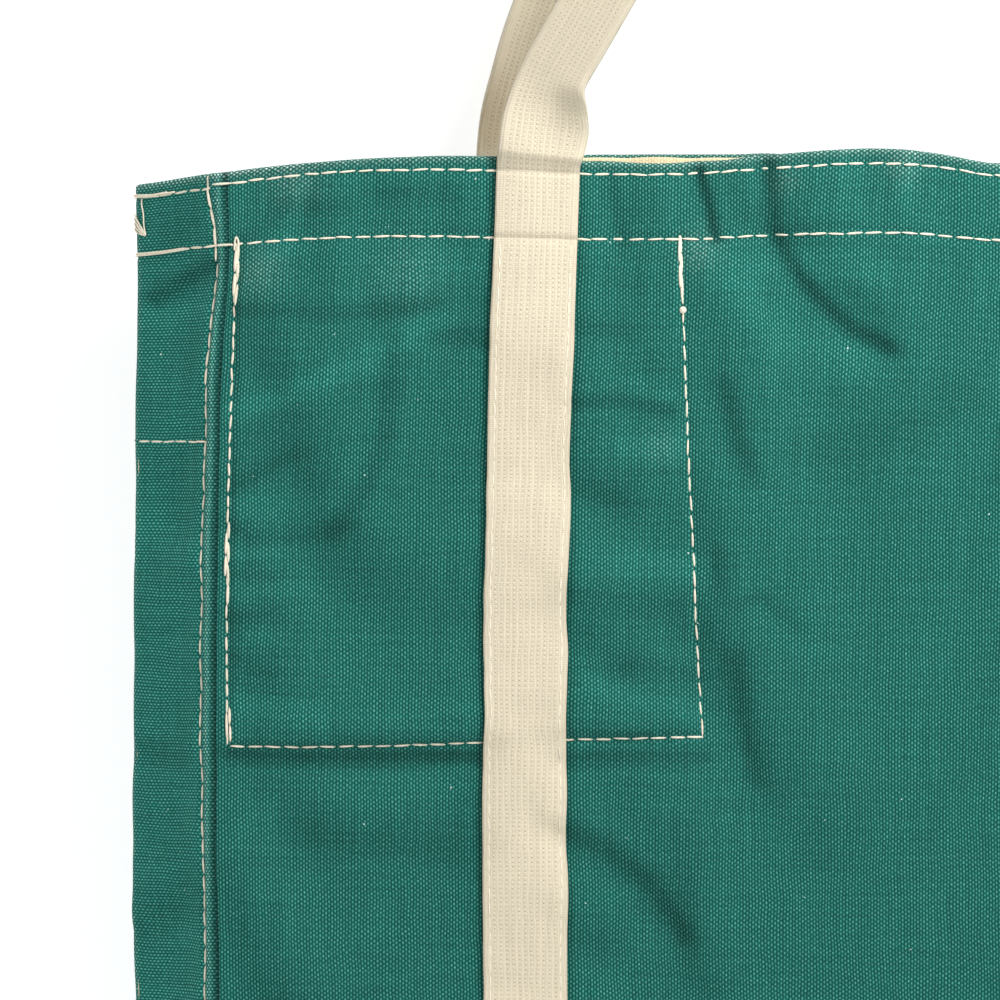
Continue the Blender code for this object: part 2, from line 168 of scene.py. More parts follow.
# The same on the front (-1) and back (1) halves of both gussets, x being minus the distance from the seam.
gussetSlopes = {
    -1: [([(-26, 317), (-4, 327)], 2.3, -0.34), ([(-24, 310), (-6, 314)], 3.0, 0.10),
         ([(-20, 338), (-12, 341)], 2.4, -0.14), ([(-28, 176), (-12, 174)], 3.0, -0.15),
         ([(-28, 120), (-10, 132)], 5.0, -0.14), ([(-26, 244), (-8, 238)], 5.0, 0.10)],
    1: [([(-24, 322), (-6, 312)], 2.6, -0.24), ([(-26, 262), (-8, 270)], 4.0, 0.14),
        ([(-28, 190), (-10, 180)], 4.0, -0.15), ([(-26, 96), (-8, 104)], 5.0, 0.14)],
}
slopeScale = 1.8      # how much steeper every sharp fold is than its slope above
slopeShade = 0.6      # how strongly the folds are painted: painted light paling the sides that face the key lamp, painted shade deepening those that face away
puckers = [(3.1, 0.10, 0.0), (4.7, 0.13, 2.1), (7.9, 0.16, 4.0)]    # wave, height and phase


# surfaces
def smoothStep(low, high, value):
    t = np.clip((value - low) / (high - low), 0, 1)
    return t * t * (3 - 2 * t)


def halfDepth(z):
    flare = np.exp(-(z - bag["bottom"]) / bag["flare"])
    return bag["halfMouth"] + (bag["halfGusset"] - bag["halfMouth"]) * flare


def gussetReach(z):
    reach = np.sqrt(np.maximum(bag["halfGusset"] ** 2 - halfDepth(z) ** 2, 0))
    knots = np.array(creases) * mm
    return reach + sum(np.interp(z + step, knots[:, 0], knots[:, 1]) for step in (-6 * mm, 0, 6 * mm)) / 3


def rimLift(face, x, z):
    knots = np.array(rims[face]) * mm
    width = 9 * mm
    lift = sum(np.interp(x + step * width, knots[:, 0], knots[:, 1]) for step in (-1, -0.5, 0, 0.5, 1)) / 5
    return lift * np.exp(-np.maximum(bag["height"] - z, 0) / rimFade)


def skewAt(z):
    return -bag["skew"] * np.sin(np.pi * np.clip((bag["height"] - z) / bag["height"], 0, 1))


def foldAt(face, x, z):
    total = np.zeros_like(x)
    for x0, z0, x1, z1, width, height in folds[face]:
        a = np.array([x0, z0]) * mm
        d = np.array([x1, z1]) * mm - a
        t = np.clip(((x - a[0]) * d[0] + (z - a[1]) * d[1]) / (d @ d), 0, 1)
        away = np.hypot(x - a[0] - t * d[0], z - a[1] - t * d[1])
        total += height * mm * np.exp(-0.5 * (away / (width * mm)) ** 2)
    # the turned hem and the stretch below it pucker a little between stitches
    nearHem = np.exp(-np.maximum(bag["height"] - z, 0) / (30 * mm))
    for wave, size, phase in puckers:
        total += size * mm * np.sin(x / (wave * mm) + phase + face) * nearHem
    return total * smoothStep(0, 14 * mm, bag["seamX"] - np.abs(x)) * smoothStep(0, 20 * mm, z)


def readSlopes(rows, x, z):
    # height of the sharp folds, and the painted light and painted shade on them: paler where a fold faces the
    # key lamp, deeper where it faces away
    height, tone = np.zeros_like(x), np.zeros_like(x)
    for spots, width, slope in rows:
        width = width * mm
        line = np.array(spots) * mm
        near = np.flatnonzero((x > line[:, 0].min() - 4 * width) & (x < line[:, 0].max() + 4 * width)
                              & (z > line[:, 1].min() - 4 * width) & (z < line[:, 1].max() + 4 * width))
        best, above = np.full(len(near), np.inf), np.zeros(len(near))
        for a, b in zip(line[:-1], line[1:]):
            d = b - a
            dx, dz = x[near] - a[0], z[near] - a[1]
            t = np.clip((dx * d[0] + dz * d[1]) / (d @ d), 0, 1)
            away = np.hypot(dx - t * d[0], dz - t * d[1])
            side = (dz * d[0] - dx * d[1]) / math.hypot(*d)
            above = np.where(away < best, side, above)
            best = np.minimum(away, best)
        bell = np.exp(-0.5 * (best / width) ** 2)
        height[near] -= slopeScale * slope * above * bell
        tone[near] += slopeScale * slope * bell
    return height, tone * slopeShade


def splineRead(grid, u, v):
    # smooth cubic reading of a grid of points, u and v in cells
    rows, columns = grid.shape[:2]
    result = np.zeros((len(u), grid.shape[2]))
    baseU, baseV = np.floor(u).astype(int), np.floor(v).astype(int)
    fu, fv = u - baseU, v - baseV

    def weights(f):
        return ((1 - f) ** 3 / 6, (3 * f**3 - 6 * f**2 + 4) / 6,
                (-3 * f**3 + 3 * f**2 + 3 * f + 1) / 6, f**3 / 6)

    for i, wu in enumerate(weights(fu)):
        for j, wv in enumerate(weights(fv)):
            column = np.clip(baseU + i - 1, 0, columns - 1)
            row = np.clip(baseV + j - 1, 0, rows - 1)
            result += grid[row, column] * (wu * wv)[:, None]
    return result


settled = {}    # name of a surface: grid of how far the cloth moved when it settled


def settledAt(name, u, v):
    if name not in settled:
        return np.zeros((len(u), 3))
    grid = settled[name]
    rows, columns = grid.shape[:2]
    return splineRead(grid, np.clip(u, 0, 1) * (columns - 1), np.clip(v, 0, 1) * (rows - 1))


drawIn = {"size": 2.0 * mm, "height": 327 * mm, "reach": 21 * mm}


def drawnIn(z):
    # how far the turned hem draws the side seams in below itself
    return drawIn["size"] * np.exp(-(((z - drawIn["height"]) / drawIn["reach"]) ** 2))


def panelBase(face, x, z):
    depth = halfDepth(z) + foldAt(face, x, z)
    tuck = np.sign(x) * drawnIn(z) * np.exp(-(bag["seamX"] - np.abs(x)) / (6 * mm))
    points = np.stack([x - tuck + skewAt(z), face * depth, z + rimLift(face, x, z)], axis=1)
    u = (x + bag["seamX"]) / (2 * bag["seamX"])
    v = (z - bag["bottom"]) / (bag["height"] - bag["bottom"])
    return points + settledAt("front" if face < 0 else "back", u, v)


def gussetBase(side, t, z):
    # t runs from -1 at the front seam, over the crease, to 1 at the back seam
    soft = 0.05
    bend = np.sqrt(t * t + soft * soft) - soft * np.exp(-np.abs(t) / 0.2)
    depth, reach = halfDepth(z), gussetReach(z)
    share = np.clip(1 - bend, 0, 1)
    edge = bag["seamX"] + reach * share - drawnIn(z) * (1 - share)
    lift = np.where(t < 0, rimLift(-1, side * edge, z), rimLift(1, side * edge, z))
    middle = (rimLift(-1, side * edge, z) + rimLift(1, side * edge, z)) / 2
    lift = lift + (middle - lift) * np.exp(-((t / 0.3) ** 2))
    points = np.stack([side * edge + skewAt(z), t * depth, z + lift], axis=1)
    u, v = (t + 1) / 2, (z - bag["bottom"]) / (bag["height"] - bag["bottom"])
    return points + settledAt("left" if side < 0 else "right", u, v)


def overRim(h):
    # a sheet's own height h, carried over the mouth's edge: height on the bag and lift
    r, top = bag["rimRadius"], bag["height"]
    angle = np.clip((h - (top - r)) / r, 0, math.pi)
    down = np.maximum(h - (top - r + math.pi * r), 0)
    z = np.where(h < top - r, h, top - r + r * np.sin(angle) - down)
    return z, -r * (1 - np.cos(angle))


def lay(base, a, z, lift, outward):
    # points at a lift over a surface, from its own normal; above the rim the surface runs straight on
    step = 0.4 * mm
    centre = base(a, z)
    alongA = base(a + step, z) - base(a - step, z)
    alongZ = base(a, z + step) - base(a, z - step)
    normal = np.cross(alongA, alongZ)
    normal /= np.maximum(np.linalg.norm(normal, axis=1), 1e-12)[:, None]
    normal *= np.sign(np.einsum("ij,ij->i", normal, outward(a, z)))[:, None]
    return centre + normal * lift[:, None], normal


def spread(*values):
    # numbers and arrays made arrays of one length
    shape = np.broadcast(*values).shape or (1,)
    return [np.asarray(value, float) + np.zeros(shape) for value in values]


# Depth and half width of the grooves that sewing pulls into each kind of surface.
grooves = {
    "panelSeam": (2.2 * mm, 0.8 * mm), "panelHem": (0.30 * mm, 1.5 * mm),
    "gussetSeam": (1.4 * mm, 0.6 * mm), "gussetHem": (0.25 * mm, 1.4 * mm),
}


def groove(kind, away):
    depth, width = grooves[kind]
    return depth * np.exp(-((away / width) ** 2))


def panelSpot(face, x, z, lift):
    # a panel tucks in at its side seams, is drawn in along its stitching, and is full over a pocket
    x, z, lift = spread(x, z, lift)
    seam = bag["seamX"] - np.abs(x)
    lift = lift - groove("panelSeam", seam)
    for drop in hemLines.values():
        lift = lift - groove("panelHem", bag["height"] - drop - z)
    if face < 0:
        lift = lift + pocketPinch(x, z)
    lift = lift + readSlopes(slopes[face], x, z)[0] * smoothStep(0, 6 * mm, seam)

    def outward(a, b):
        return np.tile([0.0, face, 0.0], (len(a), 1))

    return lay(lambda a, b: panelBase(face, a, b), x, z, lift, outward)


def onPanel(face, x, z, lift):
    return panelSpot(face, x, z, lift)[0]


def gussetSpot(side, t, z, lift):
    t, z, lift = spread(t, z, lift)
    seam = (1 - np.abs(t)) * bag["halfGusset"]
    inside, proud = np.maximum(-lift, 0), np.maximum(lift, 0)
    # the seam's turned-in layers lie under the gusset's edge and are held down by the topstitching
    bulge = topstitch["bulge"] * (1 - smoothStep(3.5 * mm, 14 * mm, seam))
    proud = proud + bulge * (1 - np.exp(-((seam / (0.8 * mm)) ** 2)))
    proud = proud - groove("gussetSeam", seam)
    proud = proud - topstitch["pinch"] * np.exp(-(((seam - stitchInset(z, side)) / (0.9 * mm)) ** 2))
    for line in hemLines:
        proud = proud - groove("gussetHem", bag["height"] - hemDrop(line, seam) - z)
    for half in (-1, 1):
        folded = readSlopes(gussetSlopes[half], -seam, z)[0] * smoothStep(1 * mm, 5 * mm, seam)
        proud = proud + np.where(t * half > 0, folded, 0) * (1 - smoothStep(0, 0.5 * mm, inside))

    def outward(a, b):
        return np.stack([np.full(len(a), float(side)), 0.4 * a, np.zeros(len(a))], axis=1)

    points, normals = lay(lambda a, b: gussetBase(side, a, b), t, z, proud, outward)
    # what lies inside the crease is drawn in towards the middle, so that its two halves never cross
    points[:, 1] *= 1 - inside / halfDepth(np.minimum(z, bag["height"]))
    points[:, 0] -= side * inside * (0.25 + 1.1 * np.clip(1 - np.abs(t), 0, 1))
    return points, normals


def hemDrop(line, seam):
    # depth of a line of hem stitching on a gusset, by the distance from the seam
    atOnce, byCrease = hemDips[line]
    return hemLines[line] + atOnce * smoothStep(0, 6 * mm, seam) + byCrease * (seam / bag["halfGusset"]) ** 2


def onGusset(side, t, z, lift):
    return gussetSpot(side, t, z, lift)[0]


topstitch = {"inset": 3.5 * mm, "closer": 0.9 * mm, "wider": 1.9 * mm, "bulge": 1.25 * mm, "pinch": 0.8 * mm}


def stitchInset(z, side):
    # the topstitching wanders a little beside the seam, closest under the hem and furthest at the mouth
    inset = topstitch["inset"] - topstitch["closer"] * smoothStep(270 * mm, 330 * mm, z)
    inset = inset + topstitch["wider"] * smoothStep(336 * mm, 355 * mm, z)
    return inset + 0.35 * mm * np.sin(z / (23 * mm) + side) - 0.3 * mm * np.sin(z / (61 * mm))


# pockets seen through the front
pocket = {
    "outerX": 197.4 * mm, "innerTop": 61.7 * mm, "innerBottom": 51.7 * mm,
    "top": 331.8 * mm, "bottom": 177.1 * mm, "rise": 4.2 * mm, "swell": 0.9 * mm, "pinch": 0.45 * mm,
}


def pocketInner(z):
    t = (pocket["top"] - z) / (pocket["top"] - pocket["bottom"])
    return pocket["innerTop"] + (pocket["innerBottom"] - pocket["innerTop"]) * t


def pocketFloor(x):
    # the bottom line climbs a little towards the middle of the bag
    t = (pocket["outerX"] - np.abs(x)) / (pocket["outerX"] - pocket["innerBottom"])
    return pocket["bottom"] + pocket["rise"] * np.clip(t, 0, 1) ** 1.5


def pocketPinch(x, z):
    away = np.abs(x)
    inner, low = pocketInner(z), pocketFloor(x)
    fromOuter, fromInner, fromLow = pocket["outerX"] - away, away - inner, z - low
    inside = np.minimum(np.minimum(fromOuter, fromInner), fromLow)
    swell = pocket["swell"] * smoothStep(-0.4 * mm, 2.2 * mm, inside)
    swell = swell * (1 - smoothStep(pocket["top"] - 8 * mm, pocket["top"] + 2 * mm, z))
    upright = np.exp(-((np.minimum(np.abs(fromOuter), np.abs(fromInner)) / (1.1 * mm)) ** 2))
    upright = upright * (fromLow > -1 * mm) * (z < pocket["top"] + 2 * mm)
    level = np.exp(-((fromLow / (1.1 * mm)) ** 2)) * (fromOuter > -1 * mm) * (fromInner > -1 * mm)
    return swell - pocket["pinch"] * np.maximum(upright, level)


# colours and materials
def linearColour(hexText):
    values = [int(hexText[i:i + 2], 16) / 255 for i in (1, 3, 5)]
    return tuple(v / 12.92 if v <= 0.04045 else ((v + 0.055) / 1.055) ** 2.4 for v in values) + (1.0,)


def addNode(tree, kind, values=None, output=0, **settings):
    # a node with its settings; each value is a number, a colour or the output of another node
    node = tree.nodes.new("ShaderNode" + kind)
    for key, setting in settings.items():
        setattr(node, key, setting)
    for key, value in (values or {}).items():
        if isinstance(value, bpy.types.NodeSocket):
            tree.links.new(value, node.inputs[key])
        else:
            node.inputs[key].default_value = value
    return node.outputs[output] if node.outputs else node


def newMaterial(name):
    material = bpy.data.materials.new(name)
    material.use_nodes = True
    material.node_tree.nodes.clear()
    return material, material.node_tree


canvasCloth = {
    "endPitch": 0.93 * mm, "pickPitch": 0.68 * mm,     # 27 ends and 37 picks to the inch, heavy duck
    "wander": 1.7 * mm, "depth": 0.22 * mm, "bump": 0.6,
    "dark": "#04463e", "middle": "#0c7165", "crown": "#7dc4b8", "worn": "#e6f0e6",
}
naturalCloth = dict(canvasCloth, dark="#d3c29c", middle="#eadcbc", crown="#f8efd8", worn="#fffaf0")
webbingCloth = {
    "holeU": 1.84 * mm, "holeV": 1.35 * mm,            # little square gaps between the ribs
    "wander": 1.3 * mm, "depth": 0.25 * mm, "bump": 0.55,
    "ground": "#e2d6bd", "light": "#efe6d2", "hole": "#9c8465", "shade": "#cfc1a3",
}


# Cotton duck, a heavy plain weave of doubled yarns: matt, with a fine grid of raised thread crowns that
# catch the light in vertical files, darker between the files, and pale where the dye has rubbed off.
def canvasMaterial(name, cloth, turned=False, paintedLightGain=1.0):
    material, tree = newMaterial(name)
    flat = addNode(tree, "UVMap", uv_map="flat")
    # the yarns wander a little, so the grid is never ruled straight
    wander = addNode(tree, "TexNoise", {"Vector": flat, "Scale": 55.0, "Detail": 2.0}, output=1)
    shift = addNode(tree, "VectorMath", {0: wander, 1: (0.5, 0.5, 0.5)}, operation="SUBTRACT")
    placed = addNode(tree, "VectorMath", {0: shift, 1: (cloth["wander"],) * 3, 2: flat},
                     operation="MULTIPLY_ADD")
    u = addNode(tree, "SeparateXYZ", {0: placed}, output=1 if turned else 0)
    v = addNode(tree, "SeparateXYZ", {0: placed}, output=0 if turned else 1)
    warp = addNode(tree, "Math", {0: u, 1: math.pi / cloth["endPitch"]}, operation="MULTIPLY")
    weft = addNode(tree, "Math", {0: v, 1: math.pi / cloth["pickPitch"]}, operation="MULTIPLY")
    warpWave = addNode(tree, "Math", {0: warp}, operation="COSINE")
    weftWave = addNode(tree, "Math", {0: weft}, operation="COSINE")
    over = addNode(tree, "Math", {0: warpWave, 1: weftWave}, operation="MULTIPLY")
    crown = addNode(tree, "Math", {0: over, 1: 0.5, 2: 0.5}, operation="MULTIPLY_ADD")
    file = addNode(tree, "Math", {0: warpWave, 1: 2.0}, operation="POWER")
    top = addNode(tree, "Math", {0: crown, 1: 1.3}, operation="POWER")
    sharp = addNode(tree, "Math", {0: top, 1: file}, operation="MULTIPLY")
    low = addNode(tree, "Math", {0: file, 1: 0.25}, operation="MULTIPLY")
    height = addNode(tree, "Math", {0: sharp, 1: 0.75, 2: low}, operation="MULTIPLY_ADD")
    # thick and thin yarns, along the warp and across it
    long, wide = (900.0, 36.0, 1.0), (36.0, 900.0, 1.0)
    if turned:
        long, wide = wide, long
    alongWarp = addNode(tree, "VectorMath", {0: flat, 1: long}, operation="MULTIPLY")
    acrossWarp = addNode(tree, "VectorMath", {0: flat, 1: wide}, operation="MULTIPLY")
    ends = addNode(tree, "TexNoise", {"Vector": alongWarp, "Scale": 1.0, "Detail": 2.0})
    picks = addNode(tree, "TexNoise", {"Vector": acrossWarp, "Scale": 1.0, "Detail": 2.0})
    yarn = addNode(tree, "Math", {0: ends, 1: picks}, operation="ADD")
    grain = addNode(tree, "TexNoise", {"Vector": flat, "Scale": 1150.0, "Detail": 2.0})
    uneven = addNode(tree, "Math", {0: grain, 1: 2.6, 2: -0.8}, operation="MULTIPLY_ADD", use_clamp=True)
    cloudy = addNode(tree, "TexNoise", {"Vector": flat, "Scale": 16.0, "Detail": 5.0, "Roughness": 0.62})
    body = addNode(tree, "Mix", {0: height, 6: linearColour(cloth["dark"]), 7: linearColour(cloth["middle"])},
                   output=2, data_type="RGBA")
    lit = addNode(tree, "Math", {0: uneven, 1: 1.0, 2: 0.25}, operation="MULTIPLY_ADD")
    speck = addNode(tree, "Math", {0: sharp, 1: lit}, operation="MULTIPLY")
    speck = addNode(tree, "Math", {0: speck, 1: 0.52}, operation="MULTIPLY", use_clamp=True)
    body = addNode(tree, "Mix", {0: speck, 6: body, 7: linearColour(cloth["crown"])},
                   output=2, data_type="RGBA")
    # dye rubbed off the crowns where the cloth is worn
    wear = addNode(tree, "Attribute", output=2, attribute_name="wear")
    patchy = addNode(tree, "Math", {0: uneven, 1: 1.3, 2: 0.1}, operation="MULTIPLY_ADD")
    patchy = addNode(tree, "Math", {0: wear, 1: patchy}, operation="MULTIPLY")
    high = addNode(tree, "Math", {0: crown, 1: 3.0}, operation="POWER")
    rubbed = addNode(tree, "Math", {0: patchy, 1: high}, operation="MULTIPLY", use_clamp=True)
    body = addNode(tree, "Mix", {0: rubbed, 6: body, 7: linearColour(cloth["worn"])},
                   output=2, data_type="RGBA")
    # a pale cotton nep here and there
    neps = addNode(tree, "TexVoronoi", {"Vector": flat, "Scale": 95.0, "Randomness": 1.0})
    nep = addNode(tree, "Math", {0: neps, 1: 0.024}, operation="LESS_THAN")
    nep = addNode(tree, "Math", {0: nep, 1: 0.7}, operation="MULTIPLY")
    body = addNode(tree, "Mix", {0: nep, 6: body, 7: linearColour(cloth["worn"])},
                   output=2, data_type="RGBA")
    # yarns and clouds, then the painted shade and painted light of the shade attribute, scaled by the painted
    # light gain
    tone = addNode(tree, "Math", {0: yarn, 1: 0.5, 2: 0.5}, operation="MULTIPLY_ADD")
    tone = addNode(tree, "Math", {0: cloudy, 1: 0.16, 2: tone}, operation="MULTIPLY_ADD")
    paintedShade = addNode(tree, "Attribute", output=2, attribute_name="shade")
    paintedShade = addNode(tree, "Math", {0: paintedShade, 1: paintedLightGain, 2: paintedLightGain}, operation="MULTIPLY_ADD")
    tone = addNode(tree, "Math", {0: tone, 1: paintedShade}, operation="MULTIPLY")
    toned = addNode(tree, "VectorMath", {0: body, "Scale": tone}, operation="SCALE")
    relief = addNode(tree, "Math", {0: grain, 1: 0.3, 2: height}, operation="MULTIPLY_ADD")
    normal = addNode(tree, "Bump", {"Strength": cloth["bump"], "Distance": cloth["depth"], "Height": relief})
    shader = addNode(tree, "BsdfPrincipled", {
        "Base Color": toned, "Normal": normal, "Roughness": 0.88, "Specular IOR Level": 0.1,
        "Sheen Weight": 0.03, "Sheen Roughness": 0.5})
    addNode(tree, "OutputMaterial", {"Surface": shader})
    return material


# Natural cotton webbing, woven narrow and thick on a shuttle loom: cream, matt and slightly hairy, with
# lengthwise ribs, rows of little dark gaps between them and a closer, plainer edge.
def webbingMaterial(name):
    material, tree = newMaterial(name)
    cloth = webbingCloth
    flat = addNode(tree, "UVMap", uv_map="flat")
    wander = addNode(tree, "TexNoise", {"Vector": flat, "Scale": 110.0, "Detail": 2.0}, output=1)
    shift = addNode(tree, "VectorMath", {0: wander, 1: (0.5, 0.5, 0.5)}, operation="SUBTRACT")
    placed = addNode(tree, "VectorMath", {0: shift, 1: (cloth["wander"],) * 3, 2: flat},
                     operation="MULTIPLY_ADD")
    u = addNode(tree, "SeparateXYZ", {0: placed}, output=0)
    v = addNode(tree, "SeparateXYZ", {0: placed}, output=1)
    ribs = addNode(tree, "Math", {0: u, 1: math.pi / cloth["holeU"]}, operation="MULTIPLY")
    rows = addNode(tree, "Math", {0: v, 1: math.pi / cloth["holeV"]}, operation="MULTIPLY")
    ribWave = addNode(tree, "Math", {0: ribs}, operation="COSINE")
    rowWave = addNode(tree, "Math", {0: rows}, operation="COSINE")
    gap = addNode(tree, "Math", {0: ribWave, 1: rowWave}, operation="MULTIPLY")
    gap = addNode(tree, "Math", {0: gap}, operation="ABSOLUTE")
    gap = addNode(tree, "Math", {0: gap, 1: 5.0}, operation="POWER")
    grain = addNode(tree, "TexNoise", {"Vector": flat, "Scale": 800.0, "Detail": 2.0})
    size = addNode(tree, "Math", {0: grain, 1: 1.1, 2: gap}, operation="MULTIPLY_ADD")
    hole = addNode(tree, "Math", {0: size, 1: 2.2, 2: -2.2}, operation="MULTIPLY_ADD", use_clamp=True)
    edge = addNode(tree, "Attribute", output=2, attribute_name="edge")
    plain = addNode(tree, "Math", {0: 1.0, 1: edge}, operation="SUBTRACT")
    hole = addNode(tree, "Math", {0: hole, 1: plain}, operation="MULTIPLY")
    fine = addNode(tree, "Math", {0: ribs, 1: 4.0}, operation="MULTIPLY")
    fine = addNode(tree, "Math", {0: fine}, operation="COSINE")
    pick = addNode(tree, "Math", {0: rows, 1: 4.0}, operation="MULTIPLY")
    pick = addNode(tree, "Math", {0: pick}, operation="COSINE")
    rib = addNode(tree, "Math", {0: fine, 1: 0.22, 2: 0.5}, operation="MULTIPLY_ADD")
    rib = addNode(tree, "Math", {0: pick, 1: 0.16, 2: rib}, operation="MULTIPLY_ADD")
    height = addNode(tree, "Math", {0: hole, 1: -0.9, 2: rib}, operation="MULTIPLY_ADD")
    fuzz = addNode(tree, "Math", {0: grain, 1: 0.8, 2: -0.4}, operation="MULTIPLY_ADD")
    share = addNode(tree, "Math", {0: rib, 1: fuzz}, operation="ADD", use_clamp=True)
    body = addNode(tree, "Mix", {0: share, 6: linearColour(cloth["shade"]), 7: linearColour(cloth["light"])},
                   output=2, data_type="RGBA")
    body = addNode(tree, "Mix", {0: 0.45, 6: body, 7: linearColour(cloth["ground"])},
                   output=2, data_type="RGBA")
    dark = addNode(tree, "Math", {0: hole, 1: 0.75}, operation="MULTIPLY")
    body = addNode(tree, "Mix", {0: dark, 6: body, 7: linearColour(cloth["hole"])},
                   output=2, data_type="RGBA")
    cloudy = addNode(tree, "TexNoise", {"Vector": flat, "Scale": 30.0, "Detail": 4.0})
    stretched = addNode(tree, "VectorMath", {0: flat, 1: (900.0, 30.0, 1.0)}, operation="MULTIPLY")
    yarn = addNode(tree, "TexNoise", {"Vector": stretched, "Scale": 1.0, "Detail": 2.0})
    tone = addNode(tree, "Math", {0: cloudy, 1: 0.18, 2: 0.72}, operation="MULTIPLY_ADD")
    tone = addNode(tree, "Math", {0: yarn, 1: 0.22, 2: tone}, operation="MULTIPLY_ADD")
    # painted shade and painted light from the shade attribute
    paintedShade = addNode(tree, "Attribute", output=2, attribute_name="shade")
    tone = addNode(tree, "Math", {0: tone, 1: paintedShade, 2: tone}, operation="MULTIPLY_ADD")
    toned = addNode(tree, "VectorMath", {0: body, "Scale": tone}, operation="SCALE")
    relief = addNode(tree, "Math", {0: grain, 1: 0.4, 2: height}, operation="MULTIPLY_ADD")
    normal = addNode(tree, "Bump", {"Strength": cloth["bump"], "Distance": cloth["depth"], "Height": relief})
    shader = addNode(tree, "BsdfPrincipled", {
        "Base Color": toned, "Normal": normal, "Roughness": 0.85, "Specular IOR Level": 0.2,
        "Sheen Weight": 0.15, "Sheen Roughness": 0.5})
    addNode(tree, "OutputMaterial", {"Surface": shader})
    return material


# Heavy cotton sewing thread, three-cord and unwaxed: cream with a slight twist and a soft, dull surface.
def threadMaterial(name):
    material, tree = newMaterial(name)
    place = addNode(tree, "TexCoord", output=3)
    fuzz = addNode(tree, "TexNoise", {"Vector": place, "Scale": 1500.0, "Detail": 2.0})
    broad = addNode(tree, "TexNoise", {"Vector": place, "Scale": 70.0, "Detail": 2.0})
    body = addNode(tree, "Mix", {0: fuzz, 6: linearColour("#ddd0b4"), 7: linearColour("#fffaf0")},
                   output=2, data_type="RGBA")
    stain = addNode(tree, "Math", {0: broad, 1: 0.4}, operation="MULTIPLY")
    body = addNode(tree, "Mix", {0: stain, 6: body, 7: linearColour("#e8d9b8")}, output=2, data_type="RGBA")
    normal = addNode(tree, "Bump", {"Strength": 0.5, "Distance": 0.1 * mm, "Height": fuzz})
    shader = addNode(tree, "BsdfPrincipled", {
        "Base Color": body, "Normal": normal, "Roughness": 0.8, "Specular IOR Level": 0.25,
        "Sheen Weight": 0.15})
    addNode(tree, "OutputMaterial", {"Surface": shader})
    return material


greenCanvas = canvasMaterial("dyedCottonDuck", canvasCloth)
# painted light: the gussets' copy of the canvas is made about a third paler, standing in for light that their
# slanting halves don't catch
greenTurnedPaintedPaler = canvasMaterial("dyedCottonDuckTurnedPaintedPaler", canvasCloth, turned=True, paintedLightGain=1.34)
creamCanvas = canvasMaterial("naturalCottonDuck", naturalCloth)
webbing = webbingMaterial("cottonWebbing")
thread = threadMaterial("cottonThread")
print("materials made")


# sheets of cloth
def spacedPlaces(low, high, step, lines=(), fine=0.9 * mm, reach=3.6 * mm, close=None):
    # places from low to high, nearer together beside each line of sewing and over one close stretch
    places = [low]
    while places[-1] < high:
        here = places[-1]
        nearLine = any(line - reach <= here + 1e-7 < line + reach for line in lines)
        inClose = close is not None and close[0] <= here < close[1]
        size = fine if nearLine else close[2] if inClose else step
        starts = [line - reach for line in lines if line - reach > here + 1e-7]
        places.append(min([here + size] + starts))
    if high - places[-2] < 0.4 * fine:
        places.pop(-2)
    return np.array(places[:-1] + [high])


def gridSheet(name, columns, rows, place, materials, thickness, uvPlace=None, **rules):
    # an open grid whose points are laid on a surface, then given its thickness inwards;
    # each of the rules makes the attribute of its own name, which the materials read
    bm = bmesh.new()
    bmesh.ops.create_grid(bm, x_segments=len(columns) - 1, y_segments=len(rows) - 1, size=0.5)
    bm.verts.ensure_lookup_table()
    spots = np.array([v.co[:2] for v in bm.verts]) + 0.5
    i = np.rint(spots[:, 0] * (len(columns) - 1)).astype(int)
    j = np.rint(spots[:, 1] * (len(rows) - 1)).astype(int)
    a, b = columns[i], rows[j]
    points = place(a, b)
    for vert, point in zip(bm.verts, points):
        vert.co = point
    flatU, flatV = uvPlace(a, b) if uvPlace else (a, b)
    layer = bm.loops.layers.uv.new("flat")
    for face in bm.faces:
        for loop in face.loops:
            loop[layer].uv = (flatU[loop.vert.index], flatV[loop.vert.index])
    bm.normal_update()
    mesh = bpy.data.meshes.new(name)
    bm.to_mesh(mesh)
    bm.free()
    for attribute, rule in rules.items():
        values = mesh.attributes.new(attribute, "FLOAT", "POINT")
        values.data.foreach_set("value", np.asarray(rule(a, b), np.float32))
    for material in materials:
        mesh.materials.append(material)
    mesh.shade_smooth()
    piece = bpy.data.objects.new(name, mesh)
    bpy.context.scene.collection.objects.link(piece)
    solid = piece.modifiers.new("thickness", "SOLIDIFY")
    solid.thickness = thickness
    solid.offset = -1.0
    solid.use_even_offset = False
    solid.material_offset = 1 if len(materials) > 1 else 0
    solid.material_offset_rim = 0
    return piece


def faceOutward(piece, outwardTest):
    # turns the sheet over where its first face looks inwards
    mesh = piece.data
    middle = mesh.polygons[len(mesh.polygons) // 2]
    if middle.normal.dot(Vector(outwardTest)) < 0:
        mesh.flip_normals()


# settling the cloth
settling = {
    "cell": 6 * mm, "gussetColumns": 12, "frames": 22, "grow": 0.012, "cap": 3.5 * mm,
    "quality": 6, "mass": 0.35, "stretch": 18, "shear": 8, "bending": 6, "drag": 3,
}


